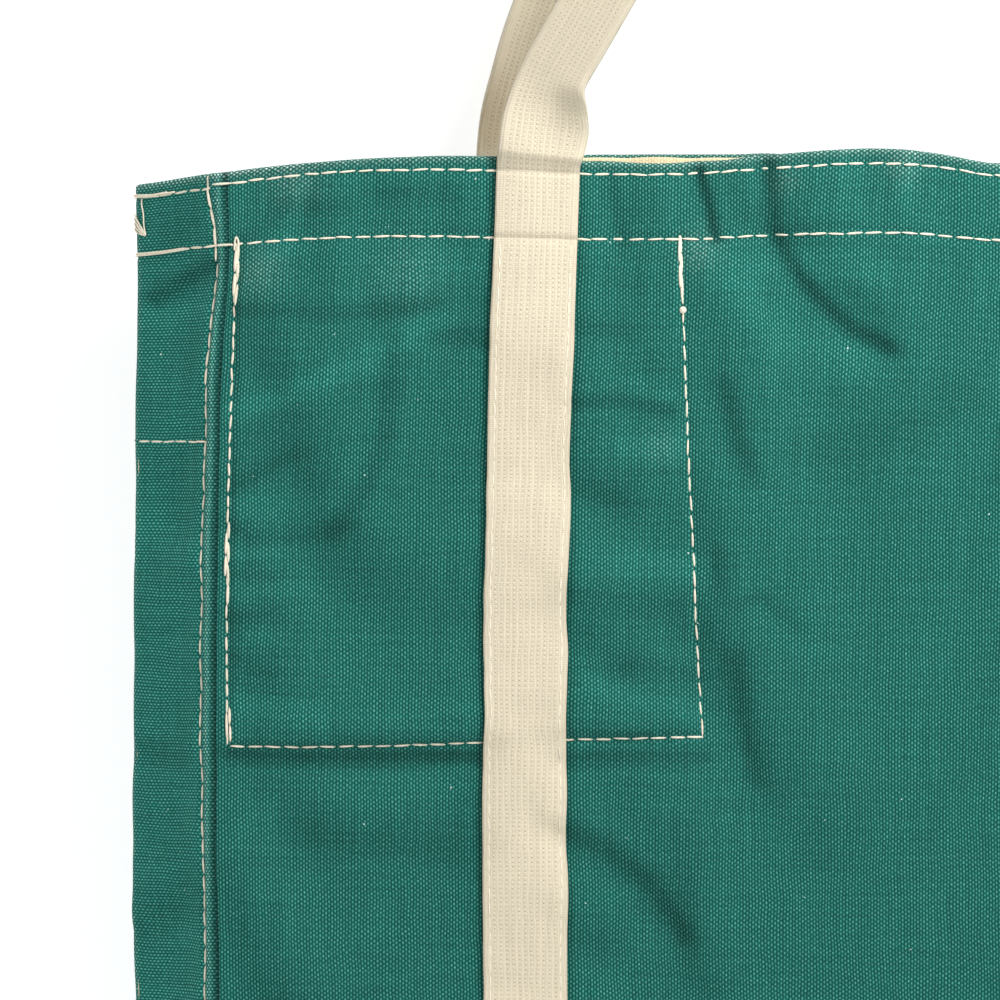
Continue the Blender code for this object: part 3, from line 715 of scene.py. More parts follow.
def settle(name, base, low, high, heldLines):
    # one surface as a coarse cloth, a touch too large for its seams, left to buckle and sag
    width = high - low
    columns = max(8, int(round(width / settling["cell"])))
    if name in ("left", "right"):
        columns = settling["gussetColumns"]
    rows = int(round((bag["height"] - bag["bottom"]) / settling["cell"]))
    across = np.linspace(low, high, columns + 1)
    up = np.linspace(bag["bottom"], bag["height"], rows + 1)
    bm = bmesh.new()
    bmesh.ops.create_grid(bm, x_segments=columns, y_segments=rows, size=0.5)
    bm.verts.ensure_lookup_table()
    spots = np.array([v.co[:2] for v in bm.verts]) + 0.5
    i = np.rint(spots[:, 0] * columns).astype(int)
    j = np.rint(spots[:, 1] * rows).astype(int)
    start = base(across[i], up[j])
    for vert, point in zip(bm.verts, start):
        vert.co = point
    mesh = bpy.data.meshes.new("settling_" + name)
    bm.to_mesh(mesh)
    bm.free()
    cloth = bpy.data.objects.new("settling_" + name, mesh)
    bpy.context.scene.collection.objects.link(cloth)
    held = cloth.vertex_groups.new(name="held")
    edgeShare = np.minimum(np.minimum(i, columns - i), np.minimum(j, rows - j))
    for index in range(len(start)):
        weight = 1.0 if edgeShare[index] == 0 else 0.0
        for test, strength in heldLines:
            if test(across[i[index]], up[j[index]]):
                weight = max(weight, strength)
        if weight > 0:
            held.add([index], weight, "REPLACE")
    modifier = cloth.modifiers.new("cloth", "CLOTH")
    rules = modifier.settings
    rules.quality = settling["quality"]
    rules.mass = settling["mass"]
    rules.tension_stiffness = settling["stretch"]
    rules.compression_stiffness = settling["stretch"]
    rules.shear_stiffness = settling["shear"]
    rules.bending_stiffness = settling["bending"]
    rules.vertex_group_mass = "held"
    rules.shrink_min = -settling["grow"]
    rules.air_damping = settling["drag"]
    modifier.collision_settings.use_collision = False
    modifier.collision_settings.use_self_collision = False
    modifier.point_cache.frame_start = 1
    modifier.point_cache.frame_end = settling["frames"]
    scene = bpy.context.scene
    for step in range(1, settling["frames"] + 1):
        scene.frame_set(step)
    graph = bpy.context.evaluated_depsgraph_get()
    evaluated = cloth.evaluated_get(graph)
    result = np.zeros(len(start) * 3, np.float32)
    evaluated.data.vertices.foreach_get("co", result)
    moved = result.reshape(-1, 3) - start
    size = np.linalg.norm(moved, axis=1)
    moved *= (np.minimum(size, settling["cap"]) / np.maximum(size, 1e-9))[:, None]
    grid = np.zeros((rows + 1, columns + 1, 3))
    grid[j, i] = moved
    bpy.data.objects.remove(cloth, do_unlink=True)
    scene.frame_set(1)
    print("settled", name, "largest move", round(float(size.max()) / mm, 2), "mm")
    return grid


# where each surface is held while it settles, and how firmly
hemHold = (lambda a, z: abs(z - (bag["height"] - hemLines["lower"])) < settling["cell"] * 0.6, 0.8)
strapHold = (lambda a, z: abs(abs(a) - 108 * mm) < 13 * mm, 0.5)
pocketHold = (lambda a, z: pocket["bottom"] < z < pocket["top"] and
              min(abs(abs(a) - 200 * mm), abs(abs(a) - 58 * mm)) < 4 * mm, 0.7)
floorHold = (lambda a, z: abs(z - pocket["bottom"]) < 4 * mm and 56 * mm < abs(a) < 200 * mm, 0.7)
seamX = bag["seamX"]
frontGrid = settle("front", lambda a, z: panelBase(-1, a, z), -seamX, seamX,
                   [hemHold, strapHold, pocketHold, floorHold])
backGrid = settle("back", lambda a, z: panelBase(1, a, z), -seamX, seamX, [hemHold, strapHold])
leftGrid = settle("left", lambda a, z: gussetBase(-1, a, z), -1.0, 1.0, [hemHold])
rightGrid = settle("right", lambda a, z: gussetBase(1, a, z), -1.0, 1.0, [hemHold])
settled.update(front=frontGrid, back=backGrid, left=leftGrid, right=rightGrid)

strap = {
    "half": 12.7 * mm, "thickness": 1.7 * mm, "lift": 2.05 * mm, "sewn": 10.7 * mm, "pinch": 0.25 * mm,
    "topX": {-1: 105.7 * mm, 1: 112.2 * mm}, "bottomX": {-1: 106.9 * mm, 1: 111.0 * mm},
    "turn": 3.0 * mm,           # length of the bend at the bag's lower edge
    "straight": 100 * mm,       # height below which a strap runs upright
}


def strapX(face, z):
    t = np.clip((bag["height"] - z) / (bag["height"] - strap["straight"]), 0, 1)
    return strap["topX"][face] + (strap["bottomX"][face] - strap["topX"][face]) * t


# canvas body
body = {"step": 1.9 * mm, "backStep": 2.5 * mm, "wideStep": 3.4 * mm, "turnIn": 4.0 * mm, "gussetStep": 0.06}
# places where the dye is rubbed paler: x, height, size in millimetres and how much
wornSpots = [(-56, 329, 6, 0.22), (6, 352, 5, 0.3), (-190, 323, 7, 0.22), (-180, 351, 7, 0.25),
             (-30, 348, 4, 0.2), (-66, 270, 5, 0.12), (-145, 322, 10, 0.1)]
rimLength = math.pi * bag["rimRadius"]
sheetTop = bag["height"] - bag["rimRadius"] + rimLength + body["turnIn"]
sewnHeights = [bag["height"] - drop for drop in hemLines.values()]
hemRows = list(spacedPlaces(bag["height"] - bag["rimRadius"], sheetTop, 0.55 * mm))


def panelWear(x, h):
    rim = np.exp(-(((h - bag["height"] - 0.6 * mm) / (2.0 * mm)) ** 2)) * 0.75
    corner = np.exp(-(((bag["seamX"] - np.abs(x)) / (22 * mm)) ** 2)) * rim
    spots = 0
    for x0, z0, size, share in wornSpots:
        spots = spots + share * np.exp(-(((x - x0 * mm) ** 2 + (h - z0 * mm) ** 2) / (size * mm) ** 2))
    return np.clip(rim + corner + spots, 0, 1)


def panelShade(face, x, h):
    # painted shade: darkest in the seam's groove, deeper on folds that face away from the key lamp and paler
    # on those that face it, and a painted shadow along both edges of the webbing
    seam = bag["seamX"] - np.abs(x)
    z = np.minimum(h, bag["height"])
    tone = readSlopes(slopes[face], x, z)[1] * smoothStep(0, 6 * mm, seam)
    beside = np.abs(np.abs(x) - strapX(face, z)) - strap["half"]
    tone = tone - 0.26 * np.exp(-((beside / (1.7 * mm)) ** 2)) * (h < bag["height"])
    return tone - 0.88 * (1 - smoothStep(0.5 * mm, 1.3 * mm, seam))


def gussetWear(t, h):
    rim = np.exp(-(((h - bag["height"] - 0.6 * mm) / (2.2 * mm)) ** 2))
    seam = (1 - np.abs(t)) * bag["halfGusset"]
    fold = 0.3 * np.exp(-(((seam - 1.5 * mm) / (0.7 * mm)) ** 2))
    crease = 0.3 * np.exp(-((t / 0.05) ** 2))
    return np.clip(rim + fold + crease, 0, 1)


def gussetShade(t, h):
    # painted shade: darker on folds facing away from the key lamp, paler on those facing it, and darkest in
    # the seam's groove
    seam = (1 - np.abs(t)) * bag["halfGusset"]
    z = np.minimum(h, bag["height"])
    tone = sum(readSlopes(gussetSlopes[half], -seam, z)[1] * (t * half > 0) for half in (-1, 1))
    return tone - 0.8 * (1 - smoothStep(0.2 * mm, 0.8 * mm, seam))


def makePanel(face, name):
    lines = [-pocket["outerX"], pocket["outerX"], -bag["seamX"] + 1.5 * mm, bag["seamX"] - 1.5 * mm]
    if face < 0:
        middle = (pocket["innerTop"] + pocket["innerBottom"]) / 2
        lines += [side * (middle + step * mm) for side in (-1, 1) for step in (-3.4, 3.4)]
    coarse = body["step"] if face < 0 else body["backStep"]
    columns = spacedPlaces(-bag["seamX"], bag["seamX"], body["wideStep"], lines,
                           close=(-bag["seamX"], 44 * mm if face < 0 else bag["seamX"], coarse))
    rows = spacedPlaces(bag["bottom"], bag["height"] - bag["rimRadius"], body["wideStep"],
                        sewnHeights + ([pocket["bottom"] + 1.5 * mm] if face < 0 else []),
                        close=(90 * mm, bag["height"], coarse))
    rows = np.array(list(rows[:-1]) + hemRows)

    def place(a, h):
        z, lift = overRim(h)
        return onPanel(face, a, z, lift)

    def flatPlace(a, h):
        # the cloth that goes down into the seam's groove counts in its length
        return a + np.sign(a) * 2.0 * mm * np.exp(-(((bag["seamX"] - np.abs(a)) / (1.0 * mm)) ** 2)), h

    piece = gridSheet(name, columns, rows, place, [greenCanvas, creamCanvas], bag["canvas"],
                      uvPlace=flatPlace, wear=panelWear, shade=lambda a, h: panelShade(face, a, h))
    faceOutward(piece, (0, face, 0))
    return piece


def makeGusset(side, name):
    edge = 0.045
    columns = spacedPlaces(-1.0, 1.0, body["gussetStep"], [-1 + edge, 1 - edge, 0.0], fine=0.015, reach=0.12)
    rows = spacedPlaces(bag["bottom"], bag["height"] - bag["rimRadius"], body["backStep"], sewnHeights,
                        close=(150 * mm, bag["height"], body["step"]))
    rows = np.array(list(rows[:-1]) + hemRows)

    def place(a, h):
        z, lift = overRim(h)
        return onGusset(side, a, z, lift)

    def flatPlace(a, h):
        seam = (1 - np.abs(a)) * bag["halfGusset"]
        groove = np.sign(a) * 2.2 * mm * np.exp(-((seam / (0.8 * mm)) ** 2))
        return a * bag["halfGusset"] + groove + 0.5 * (1 + side), h

    piece = gridSheet(name, columns, rows, place, [greenTurnedPaintedPaler, creamCanvas], bag["canvas"],
                      uvPlace=flatPlace, wear=gussetWear, shade=gussetShade)
    faceOutward(piece, (side, 0, 0))
    return piece


def declare(piece, bodyName, slotName, *nodes):
    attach(piece, bodyName)
    if nodes:
        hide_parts(*nodes)
    return piece


frontCanvas = declare(makePanel(-1, "front_canvas"), "bag", "canvas", "front_panel")
backCanvas = declare(makePanel(1, "back_canvas"), "bag", "canvas", "back_panel")
leftCanvas = declare(makeGusset(-1, "left_gusset_canvas"), "bag", "canvas", "left_gusset")
rightCanvas = declare(makeGusset(1, "right_gusset_canvas"), "bag", "canvas", "right_gusset")
print("canvas body made")


baseCloth = {"drop": 1.2 * mm, "top": 3.2 * mm, "fall": 9 * mm, "inset": 0.6 * mm}


def makeBase(name):
    # the base hangs a little between its seams and lies on the webbing that crosses it
    columns = np.linspace(-bag["seamX"] + baseCloth["inset"], bag["seamX"] - baseCloth["inset"], 120)
    rows = np.linspace(-bag["halfGusset"] + baseCloth["inset"], bag["halfGusset"] - baseCloth["inset"], 24)

    def place(x, y):
        away = np.minimum(bag["seamX"] - np.abs(x), bag["halfGusset"] - np.abs(y))
        sag = smoothStep(0, baseCloth["fall"], away)
        ripple = 0.25 * mm * np.sin(x / (23 * mm) + 2 * np.sin(y / (14 * mm))) * sag
        z = baseCloth["top"] - baseCloth["drop"] * sag + ripple
        overStrap = np.exp(-(((np.abs(x) - 110 * mm) / (16 * mm)) ** 4))
        return np.stack([x, y, z + baseCloth["drop"] * 0.8 * overStrap * sag], axis=1)

    piece = gridSheet(name, columns, rows, place, [creamCanvas, greenCanvas], bag["canvas"],
                      wear=lambda a, b: np.zeros_like(a))
    faceOutward(piece, (0, 0, 1))
    return piece


baseCanvas = declare(makeBase("base_canvas"), "bag", "canvas", "base_panel")

# mouth tape, facings and pockets
tape = {"lift": -3.7 * mm, "thickness": 1.1 * mm, "topGap": 1.1 * mm, "end": 5.5 * mm, "gussetReach": 0.80}


def makeTape(face, name):
    columns = spacedPlaces(-bag["seamX"] + tape["end"], bag["seamX"] - tape["end"], 3 * mm)
    rows = spacedPlaces(bag["height"] - bag["hem"], bag["height"] - tape["topGap"], 2.2 * mm, sewnHeights)
    piece = gridSheet(name, columns, rows, lambda a, z: onPanel(face, a, z, tape["lift"]),
                      [creamCanvas], tape["thickness"])
    faceOutward(piece, (0, face, 0))
    return piece


def makeGussetPatch(side, name, low, high, reach, lift, thickness, material):
    columns = spacedPlaces(-reach, reach, 0.07, [0.0], fine=0.03, reach=0.12)
    rows = spacedPlaces(low, high, 2.4 * mm)
    piece = gridSheet(name, columns, rows, lambda a, z: onGusset(side, a, z, lift), [material], thickness,
                      uvPlace=lambda a, z: (a * bag["halfGusset"], z))
    faceOutward(piece, (side, 0, 0))
    return piece


facing = {"bottom": 269.0 * mm, "reach": 0.74, "lift": -2.4 * mm}
for face, faceName in faces:
    piece = declare(makeTape(face, faceName + "_mouth_tape"), "bag", "canvas", faceName + "_hem")
for side, sideName in sides:
    piece = makeGussetPatch(side, sideName + "_gusset_tape", bag["height"] - bag["hem"],
                            bag["height"] - tape["topGap"], tape["gussetReach"], tape["lift"],
                            tape["thickness"], creamCanvas)
    declare(piece, "bag", "canvas", sideName + "_gusset_hem")
    piece = makeGussetPatch(side, sideName + "_gusset_facing_cloth", facing["bottom"],
                            bag["height"] - bag["hem"] - 1 * mm, facing["reach"], facing["lift"],
                            bag["canvas"], creamCanvas)
    declare(piece, "bag", "canvas", sideName + "_gusset_facing")

pocketBag = {"margin": 2.6 * mm, "lift": -1.6 * mm, "full": 8.5 * mm, "ramp": 26 * mm,
             "flat": (150 * mm, 160 * mm)}


def makePocket(side, name):
    # an inner pocket: sewn flat at its edges, standing away from the panel in the middle and at the mouth
    outer = pocket["outerX"] + pocketBag["margin"] - 0.6 * mm
    low = pocket["bottom"] - pocketBag["margin"]
    columns = np.linspace(0, 1, 56)
    rows = np.linspace(0, 1, 60)

    def place(u, v):
        z = low + (pocket["top"] - 1.5 * mm - low) * v
        inner = pocketInner(z) - pocketBag["margin"]
        away = outer + (inner - outer) * u
        fromEdge = np.minimum(outer - away, away - inner) - pocketBag["margin"]
        rampSide = smoothStep(0, pocketBag["ramp"], fromEdge)
        rampUp = smoothStep(0, pocketBag["ramp"] * 1.4, z - low - pocketBag["margin"])
        ripple = 0.6 * mm * np.sin(away / (13 * mm)) * np.sin(z / (21 * mm))
        full = (pocketBag["full"] + ripple) * rampSide * rampUp
        inwards = (full - pocketBag["lift"])[:, None] * np.array([0.0, 1.0, 0.0])
        return onPanel(-1, side * away, z, 0.0) + inwards

    def flatPlace(u, v):
        return u * (outer - pocketInner(low)), v * (pocket["top"] - low)

    piece = gridSheet(name, columns, rows, place, [creamCanvas], bag["canvas"], uvPlace=flatPlace)
    faceOutward(piece, (0, -1, 0))
    return piece


for side, sideName in sides:
    piece = declare(makePocket(side, sideName + "_pocket_cloth"), "bag", "canvas", sideName + "_inner_pocket")
print("mouth tape, facings and pockets made")

# webbing: straps and handles in one
# Each half of a handle stands up, bends towards the middle, runs straight and turns over the crown.
handle = {
    -1: {"rise": 130 * mm, "stand": 17 * mm, "footLean": math.radians(6.5), "legLean": math.radians(30),
         "footRadius": 34 * mm, "twist": math.radians(38), "crownTwist": math.radians(16), "out": 2.3 * mm,
         "flare": 1.7 * mm},
    1: {"rise": 130 * mm, "stand": 2 * mm, "footLean": math.radians(4), "legLean": math.radians(20),
        "footRadius": 150 * mm, "twist": math.radians(22), "crownTwist": math.radians(10), "out": 1.2 * mm,
        "flare": 0.0},
}


def handlePath(face):
    # where the stretches of one half of a handle's middle line begin, and their sizes
    rule = handle[face]
    start, lean, foot = rule["footLean"], rule["legLean"], rule["footRadius"]
    footX = rule["stand"] * math.sin(start) + foot * (math.cos(start) - math.cos(lean))
    footZ = rule["stand"] * math.cos(start) + foot * (math.sin(lean) - math.sin(start))
    across, up = strap["topX"][face] - footX, rule["rise"] - footZ
    leg = (up * math.cos(lean) - across * (1 - math.sin(lean))) / (1 - math.sin(lean))
    crown = (across * math.cos(lean) - up * math.sin(lean)) / (1 - math.sin(lean))
    bend = foot * (lean - start)
    half = rule["stand"] + bend + leg + crown * (math.pi / 2 - lean)
    return {"bend": bend, "leg": leg, "crown": crown, "half": half}


def handlePoint(face, along):
    # distance towards the middle, height over the mouth and leaning angle, at a length from the foot
    rule, path = handle[face], handlePath(face)
    start, lean, foot = rule["footLean"], rule["legLean"], rule["footRadius"]
    inStand = np.minimum(along, rule["stand"])
    inBend = np.clip(along - rule["stand"], 0, path["bend"])
    inLeg = np.clip(along - rule["stand"] - path["bend"], 0, path["leg"])
    inCrown = np.maximum(along - rule["stand"] - path["bend"] - path["leg"], 0)
    angle = start + inBend / foot
    crownAngle = lean + inCrown / path["crown"]
    x = inStand * math.sin(start) + foot * (math.cos(start) - np.cos(angle)) + inLeg * math.sin(lean)
    z = inStand * math.cos(start) + foot * (np.sin(angle) - math.sin(start)) + inLeg * math.cos(lean)
    x = x + path["crown"] * (math.cos(lean) - np.cos(crownAngle))
    z = z + path["crown"] * (np.sin(crownAngle) - math.sin(lean))
    return x, z, angle + inCrown / path["crown"]


def webbingFree(face, side, fromFoot, w, lift):
    # the stretch above the mouth: it leans out, then turns about its own length where it bends
    rule, path = handle[face], handlePath(face)
    hx, hz, angle = handlePoint(face, fromFoot)
    twist = rule["twist"] * smoothStep(3 * mm, 27 * mm, fromFoot)
    share = smoothStep(60 * mm, path["half"], fromFoot)
    twist = twist + (rule["crownTwist"] - rule["twist"]) * share
    out = rule["out"] * smoothStep(-4.2 * mm, 1.5 * mm, fromFoot)
    out = out + 1.5 * mm * np.sin(fromFoot / (34 * mm)) * smoothStep(20 * mm, 60 * mm, fromFoot)
    # the inner edge buckles where the webbing bends edgewise
    inner = smoothStep(2 * mm, -12.7 * mm, w)
    out = out + 1.3 * mm * inner * np.exp(-(((fromFoot - rule["stand"] - 5 * mm) / (5 * mm)) ** 2))
    topZ = bag["height"] + 0 * fromFoot
    rim = onPanel(face, side * (strapX(face, topZ) + w), topZ, lift)
    middle = onPanel(face, side * strapX(face, topZ), topZ, lift)
    fade = 1 - smoothStep(0, 45 * mm, fromFoot)
    x = side * (strap["topX"][face] - hx + w * np.cos(angle) * np.cos(twist))
    x = x - side * rule["flare"] * inner * np.exp(-(((fromFoot - 9 * mm) / (9 * mm)) ** 2))
    straight = face * (bag["halfMouth"] + strap["lift"])
    y = straight + (rim[:, 1] - straight) * fade + face * out - face * w * np.sin(twist)
    z = bag["height"] + hz + w * np.sin(angle) * np.cos(twist) + (middle[:, 2] - bag["height"]) * fade
    return np.stack([x, y + face * (lift - strap["lift"]), z], axis=1)


def webbingPlace(face, along, w, lift):
    # one length of webbing: along is 0 in the middle of the handle and grows down both legs
    half = handlePath(face)["half"]
    side = np.where(along < 0, -1.0, 1.0)
    fromFoot = half - np.abs(along)                     # above the mouth, below it negative
    down = np.maximum(-fromFoot, 0)
    z = np.maximum(bag["height"] - down, bag["bottom"])
    sewn = onPanel(face, side * (strapX(face, z) + w), z, lift)
    free = webbingFree(face, side, fromFoot, w, lift)
    share = smoothStep(-4.2 * mm, 1.5 * mm, fromFoot)[:, None]
    points = sewn + (free - sewn) * share
    # past the bag's lower edge it turns under and runs to the middle of the base
    under = np.maximum(down - (bag["height"] - bag["bottom"]), 0)
    radius = strap["turn"] * 2 / math.pi
    arc = np.clip(under / strap["turn"], 0, 1) * math.pi / 2
    past = np.maximum(under - strap["turn"], 0)
    edge = onPanel(face, side * (strapX(face, z) + w), 0 * z + bag["bottom"], lift)
    inwards, downwards = radius * (1 - np.cos(arc)) + past, radius * np.sin(arc)
    below = edge + np.stack([0 * z, -face * inwards, -downwards], axis=1)
    return np.where((under > 0)[:, None], below, points)


def makeWebbing(face, name):
    half = handlePath(face)["half"]
    downLength = bag["height"] - bag["bottom"]
    underLength = bag["halfGusset"] + strap["lift"] + strap["turn"] * (1 - 2 / math.pi) - 0.3 * mm
    reach = half + downLength + underLength
    lines = [sign * (half + place) for sign in (-1, 1)
             for place in [0, downLength + strap["turn"] / 2] + list(hemLines.values())]
    rows = spacedPlaces(-reach, reach, 2.6 * mm, lines, fine=0.6 * mm, reach=4.2 * mm)
    steps = [0, 3, 6, 8.6, 10.0, 10.7, 11.4, 12.2, 12.7]
    columns = np.array([-n for n in reversed(steps[1:])] + steps) * mm

    def place(w, along):
        down = np.abs(along) - half
        rounded = 0.35 * mm * smoothStep(11.2 * mm, strap["half"], np.abs(w))     # softer, thinner edges
        sewn = smoothStep(hemLines["lower"] - 2 * mm, hemLines["lower"] + 2 * mm, down)
        pinch = strap["pinch"] * np.exp(-(((np.abs(w) - strap["sewn"]) / (0.7 * mm)) ** 2)) * sewn
        crossed = sum(0.5 * mm * np.exp(-(((down - drop) / (0.6 * mm)) ** 2)) for drop in hemLines.values())
        return webbingPlace(face, along, w, strap["lift"] - rounded - pinch - crossed)

    def edgeShare(w, along):
        return smoothStep(9.9 * mm, 10.9 * mm, np.abs(w))

    def shade(w, along):
        # painted shade: darker in the dents of the hem's stitching, at the bend over the mouth and along both
        # edges, and painted darker at the crown so that the key lamp's strong light doesn't wash it out
        down = np.abs(along) - half
        dents = sum(np.exp(-(((down - drop) / (0.5 * mm)) ** 2)) for drop in hemLines.values())
        bend = np.exp(-(((down - 2.2 * mm) / (1.6 * mm)) ** 2)) if face < 0 else 0
        edges = smoothStep(11.8 * mm, 12.7 * mm, np.abs(w))
        held = smoothStep(62 * mm, 115 * mm, -down)
        return -0.22 * dents - 0.13 * bend - 0.14 * edges - 0.2 * held

    piece = gridSheet(name, columns, rows, place, [webbing], strap["thickness"], edge=edgeShare, shade=shade)
    faceOutward(piece, (0, face, 0))
    return piece


for face, faceName in faces:
    piece = makeWebbing(face, faceName + "_webbing")
    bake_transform(piece)
    nodes = [faceName + "_handle", faceName + "_left_strap", faceName + "_right_strap"]
    if face < 0:
        nodes += ["base_left_strap", "base_right_strap"]
    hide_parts(*nodes)
print("webbing made")

# stitching
stitching = {"pitch": 5.6 * mm, "radius": 0.36 * mm, "stray": 0.2 * mm}


def addStitch(bm, centre, along, normal, length, radius):
    # one float of thread: rounded, its ends diving into the needle holes
    made = bmesh.ops.create_uvsphere(bm, u_segments=7, v_segments=6, radius=1.0)["verts"]
    across = normal.cross(along).normalized()
    for vert in made:
        x, y, z = vert.co
        blunt = math.copysign(abs(z) ** 0.7, z)
        dive = 0.8 * radius * abs(blunt) ** 6
        size = 1.0 - 0.12 * blunt * blunt
        vert.co = (centre + along * (blunt * length / 2) + across * (x * radius * size * 1.05)
                   + normal * (y * radius * size * 0.85 - dive))


def sewLine(bm, placeAt, start, end, seed, pitch=None, radius=None, stray=None, proud=0.0):
    # stitches along placeAt(distances), each a little longer, shorter or more slanted than the last
    rng = np.random.default_rng(seed)
    pitch = pitch or stitching["pitch"]
    radius = radius or stitching["radius"]
    stray = stitching["stray"] if stray is None else stray
    count = max(1, int(round(abs(end - start) / pitch)))
    step = (end - start) / count
    middles = start + (np.arange(count) + 0.5 + rng.uniform(-0.05, 0.05, count)) * step
    probe = 0.9 * mm
    before, after = placeAt(middles - probe)[0], placeAt(middles + probe)[0]
    centres, normals = placeAt(middles)
    lengths = abs(step) * rng.uniform(0.92, 1.0, count)
    slants = rng.uniform(-stray, stray, count)
    offsets = rng.uniform(-stray, stray, count) * 0.5
    rises = radius * rng.uniform(0.15, 0.5, count) + proud
    sizes = radius * rng.uniform(0.88, 1.12, count)
    for k in range(count):
        normal = Vector(normals[k])
        along = Vector(after[k] - before[k]).normalized()
        across = normal.cross(along).normalized()
        along = (along + across * (2 * slants[k] / lengths[k])).normalized()
        centre = Vector(centres[k]) + across * offsets[k] + normal * rises[k]
        addStitch(bm, centre, along, normal, lengths[k], sizes[k])


def addTail(bm, points, radius):
    # a loose length of thread along a few points, smoothed into one curve
    curve = bpy.data.curves.new("tail", "CURVE")
    curve.dimensions = "3D"
    curve.bevel_depth, curve.bevel_resolution, curve.use_fill_caps = radius, 1, True
    spline = curve.splines.new("NURBS")
    spline.points.add(len(points) - 1)
    for spot, point in zip(spline.points, points):
        spot.co = (*point, 1)
    spline.use_endpoint_u, spline.order_u, spline.resolution_u = True, 3, 4
    holder = bpy.data.objects.new("tail", curve)
    bpy.context.scene.collection.objects.link(holder)
    graph = bpy.context.evaluated_depsgraph_get()
    mesh = bpy.data.meshes.new_from_object(holder.evaluated_get(graph))
    bm.from_mesh(mesh)
    bpy.data.objects.remove(holder, do_unlink=True)
    bpy.data.meshes.remove(mesh)


def finishStitches(name, bm, *nodes):
    mesh = bpy.data.meshes.new(name)
    bm.to_mesh(mesh)
    bm.free()
    mesh.materials.append(thread)
    mesh.shade_smooth()
    piece = bpy.data.objects.new(name, mesh)
    bpy.context.scene.collection.objects.link(piece)
    declare(piece, "bag", "thread", *nodes)
    return piece


def pointOnPanel(face, x, z, lift=0.0):
    # one point and the way the cloth faces there
    points, normals = panelSpot(face, x, z, lift)
    return Vector(points[0]), Vector(normals[0])


def sewMouth(line, seed):
    # one line of hem stitching all round the mouth, outside and, on the panels, inside
    bm = bmesh.new()
    z = bag["height"] - hemLines[line]
    edge = bag["seamX"] - 2.2 * mm
    for face in (-1, 1):
        def wave(x, face=face):
            return z + 0.35 * mm * np.sin(x / (17 * mm) + face)

        def outside(x, face=face):
            return panelSpot(face, x, wave(x), 0)

        def inside(x, face=face):
            points, normals = panelSpot(face, x, wave(x), tape["lift"] - tape["thickness"])
            return points, -normals
        sewLine(bm, outside, -edge, edge, seed + face)
        sewLine(bm, inside, -edge + 6 * mm, edge - 6 * mm, seed + 10 + face)
    reach = bag["halfGusset"]
    for side in (-1, 1):
        def around(d, side=side):
            return gussetSpot(side, d / reach, bag["height"] - hemDrop(line, reach - np.abs(d)), 0)
        sewLine(bm, around, -reach + 2.0 * mm, reach - 2.0 * mm, seed + 20 + side, proud=0.12 * mm)
        for face in (-1, 1):
            # one stitch bridges the groove of each seam
            fromGusset = gussetSpot(side, face * (1 - 2.4 * mm / reach), z, 0)
            fromPanel = panelSpot(face, side * (bag["seamX"] - 2.6 * mm), z, 0)
            first, last = Vector(fromGusset[0][0]), Vector(fromPanel[0][0])
            normal = Vector(fromGusset[1][0] + fromPanel[1][0]).normalized()
            middle = (first + last) / 2 + normal * 0.75 * mm
            addStitch(bm, middle, (last - first).normalized(), normal, (last - first).length + 1.2 * mm,
                      stitching["radius"])
    return bm


def sewSeams():
    reach = bag["halfGusset"]
    for face, faceName in faces:
        for side, sideName in sides:
            bm = bmesh.new()
            low, high = 9 * mm, bag["height"] - 0.6 * mm

            def seamPlace(z, face=face, side=side):
                return gussetSpot(side, face * (1 - stitchInset(z, side) / reach), z, 0)
            sewLine(bm, seamPlace, low, high, 40 + 3 * face + side, proud=0.1 * mm)
            # the first stitches under the rim are sewn over twice
            sewLine(bm, seamPlace, high - 24 * mm, high - 4 * mm, 50 + 3 * face + side, pitch=6.6 * mm,
                    radius=0.46 * mm, proud=0.3 * mm)
            finishStitches(f"{faceName}_{sideName}_seam_stitches", bm, f"{faceName}_{sideName}_seam_thread")


pocketSewing = {
    # height from, height to, offset from the line, thread radius, in millimetres: places sewn over twice
    "outer": [(334.2, 313, 0.5, 0.50), (331, 316, -0.35, 0.50), (247, 220, 0.3, 0.44), (243, 229, -0.45, 0.5),
              (189, 178, 0.8, 0.40), (188, 179, -0.1, 0.40)],
    "inner": [(335.5, 314, 0.1, 0.52), (333, 318, 0.5, 0.42)],
    "knot": 311.2, "knotSize": 1.15,
    "loop": [(-0.75, 330.5), (-0.8, 333.4), (-0.25, 335.0), (0.6, 333.2), (0.7, 329.5), (0.2, 326.2)],
}


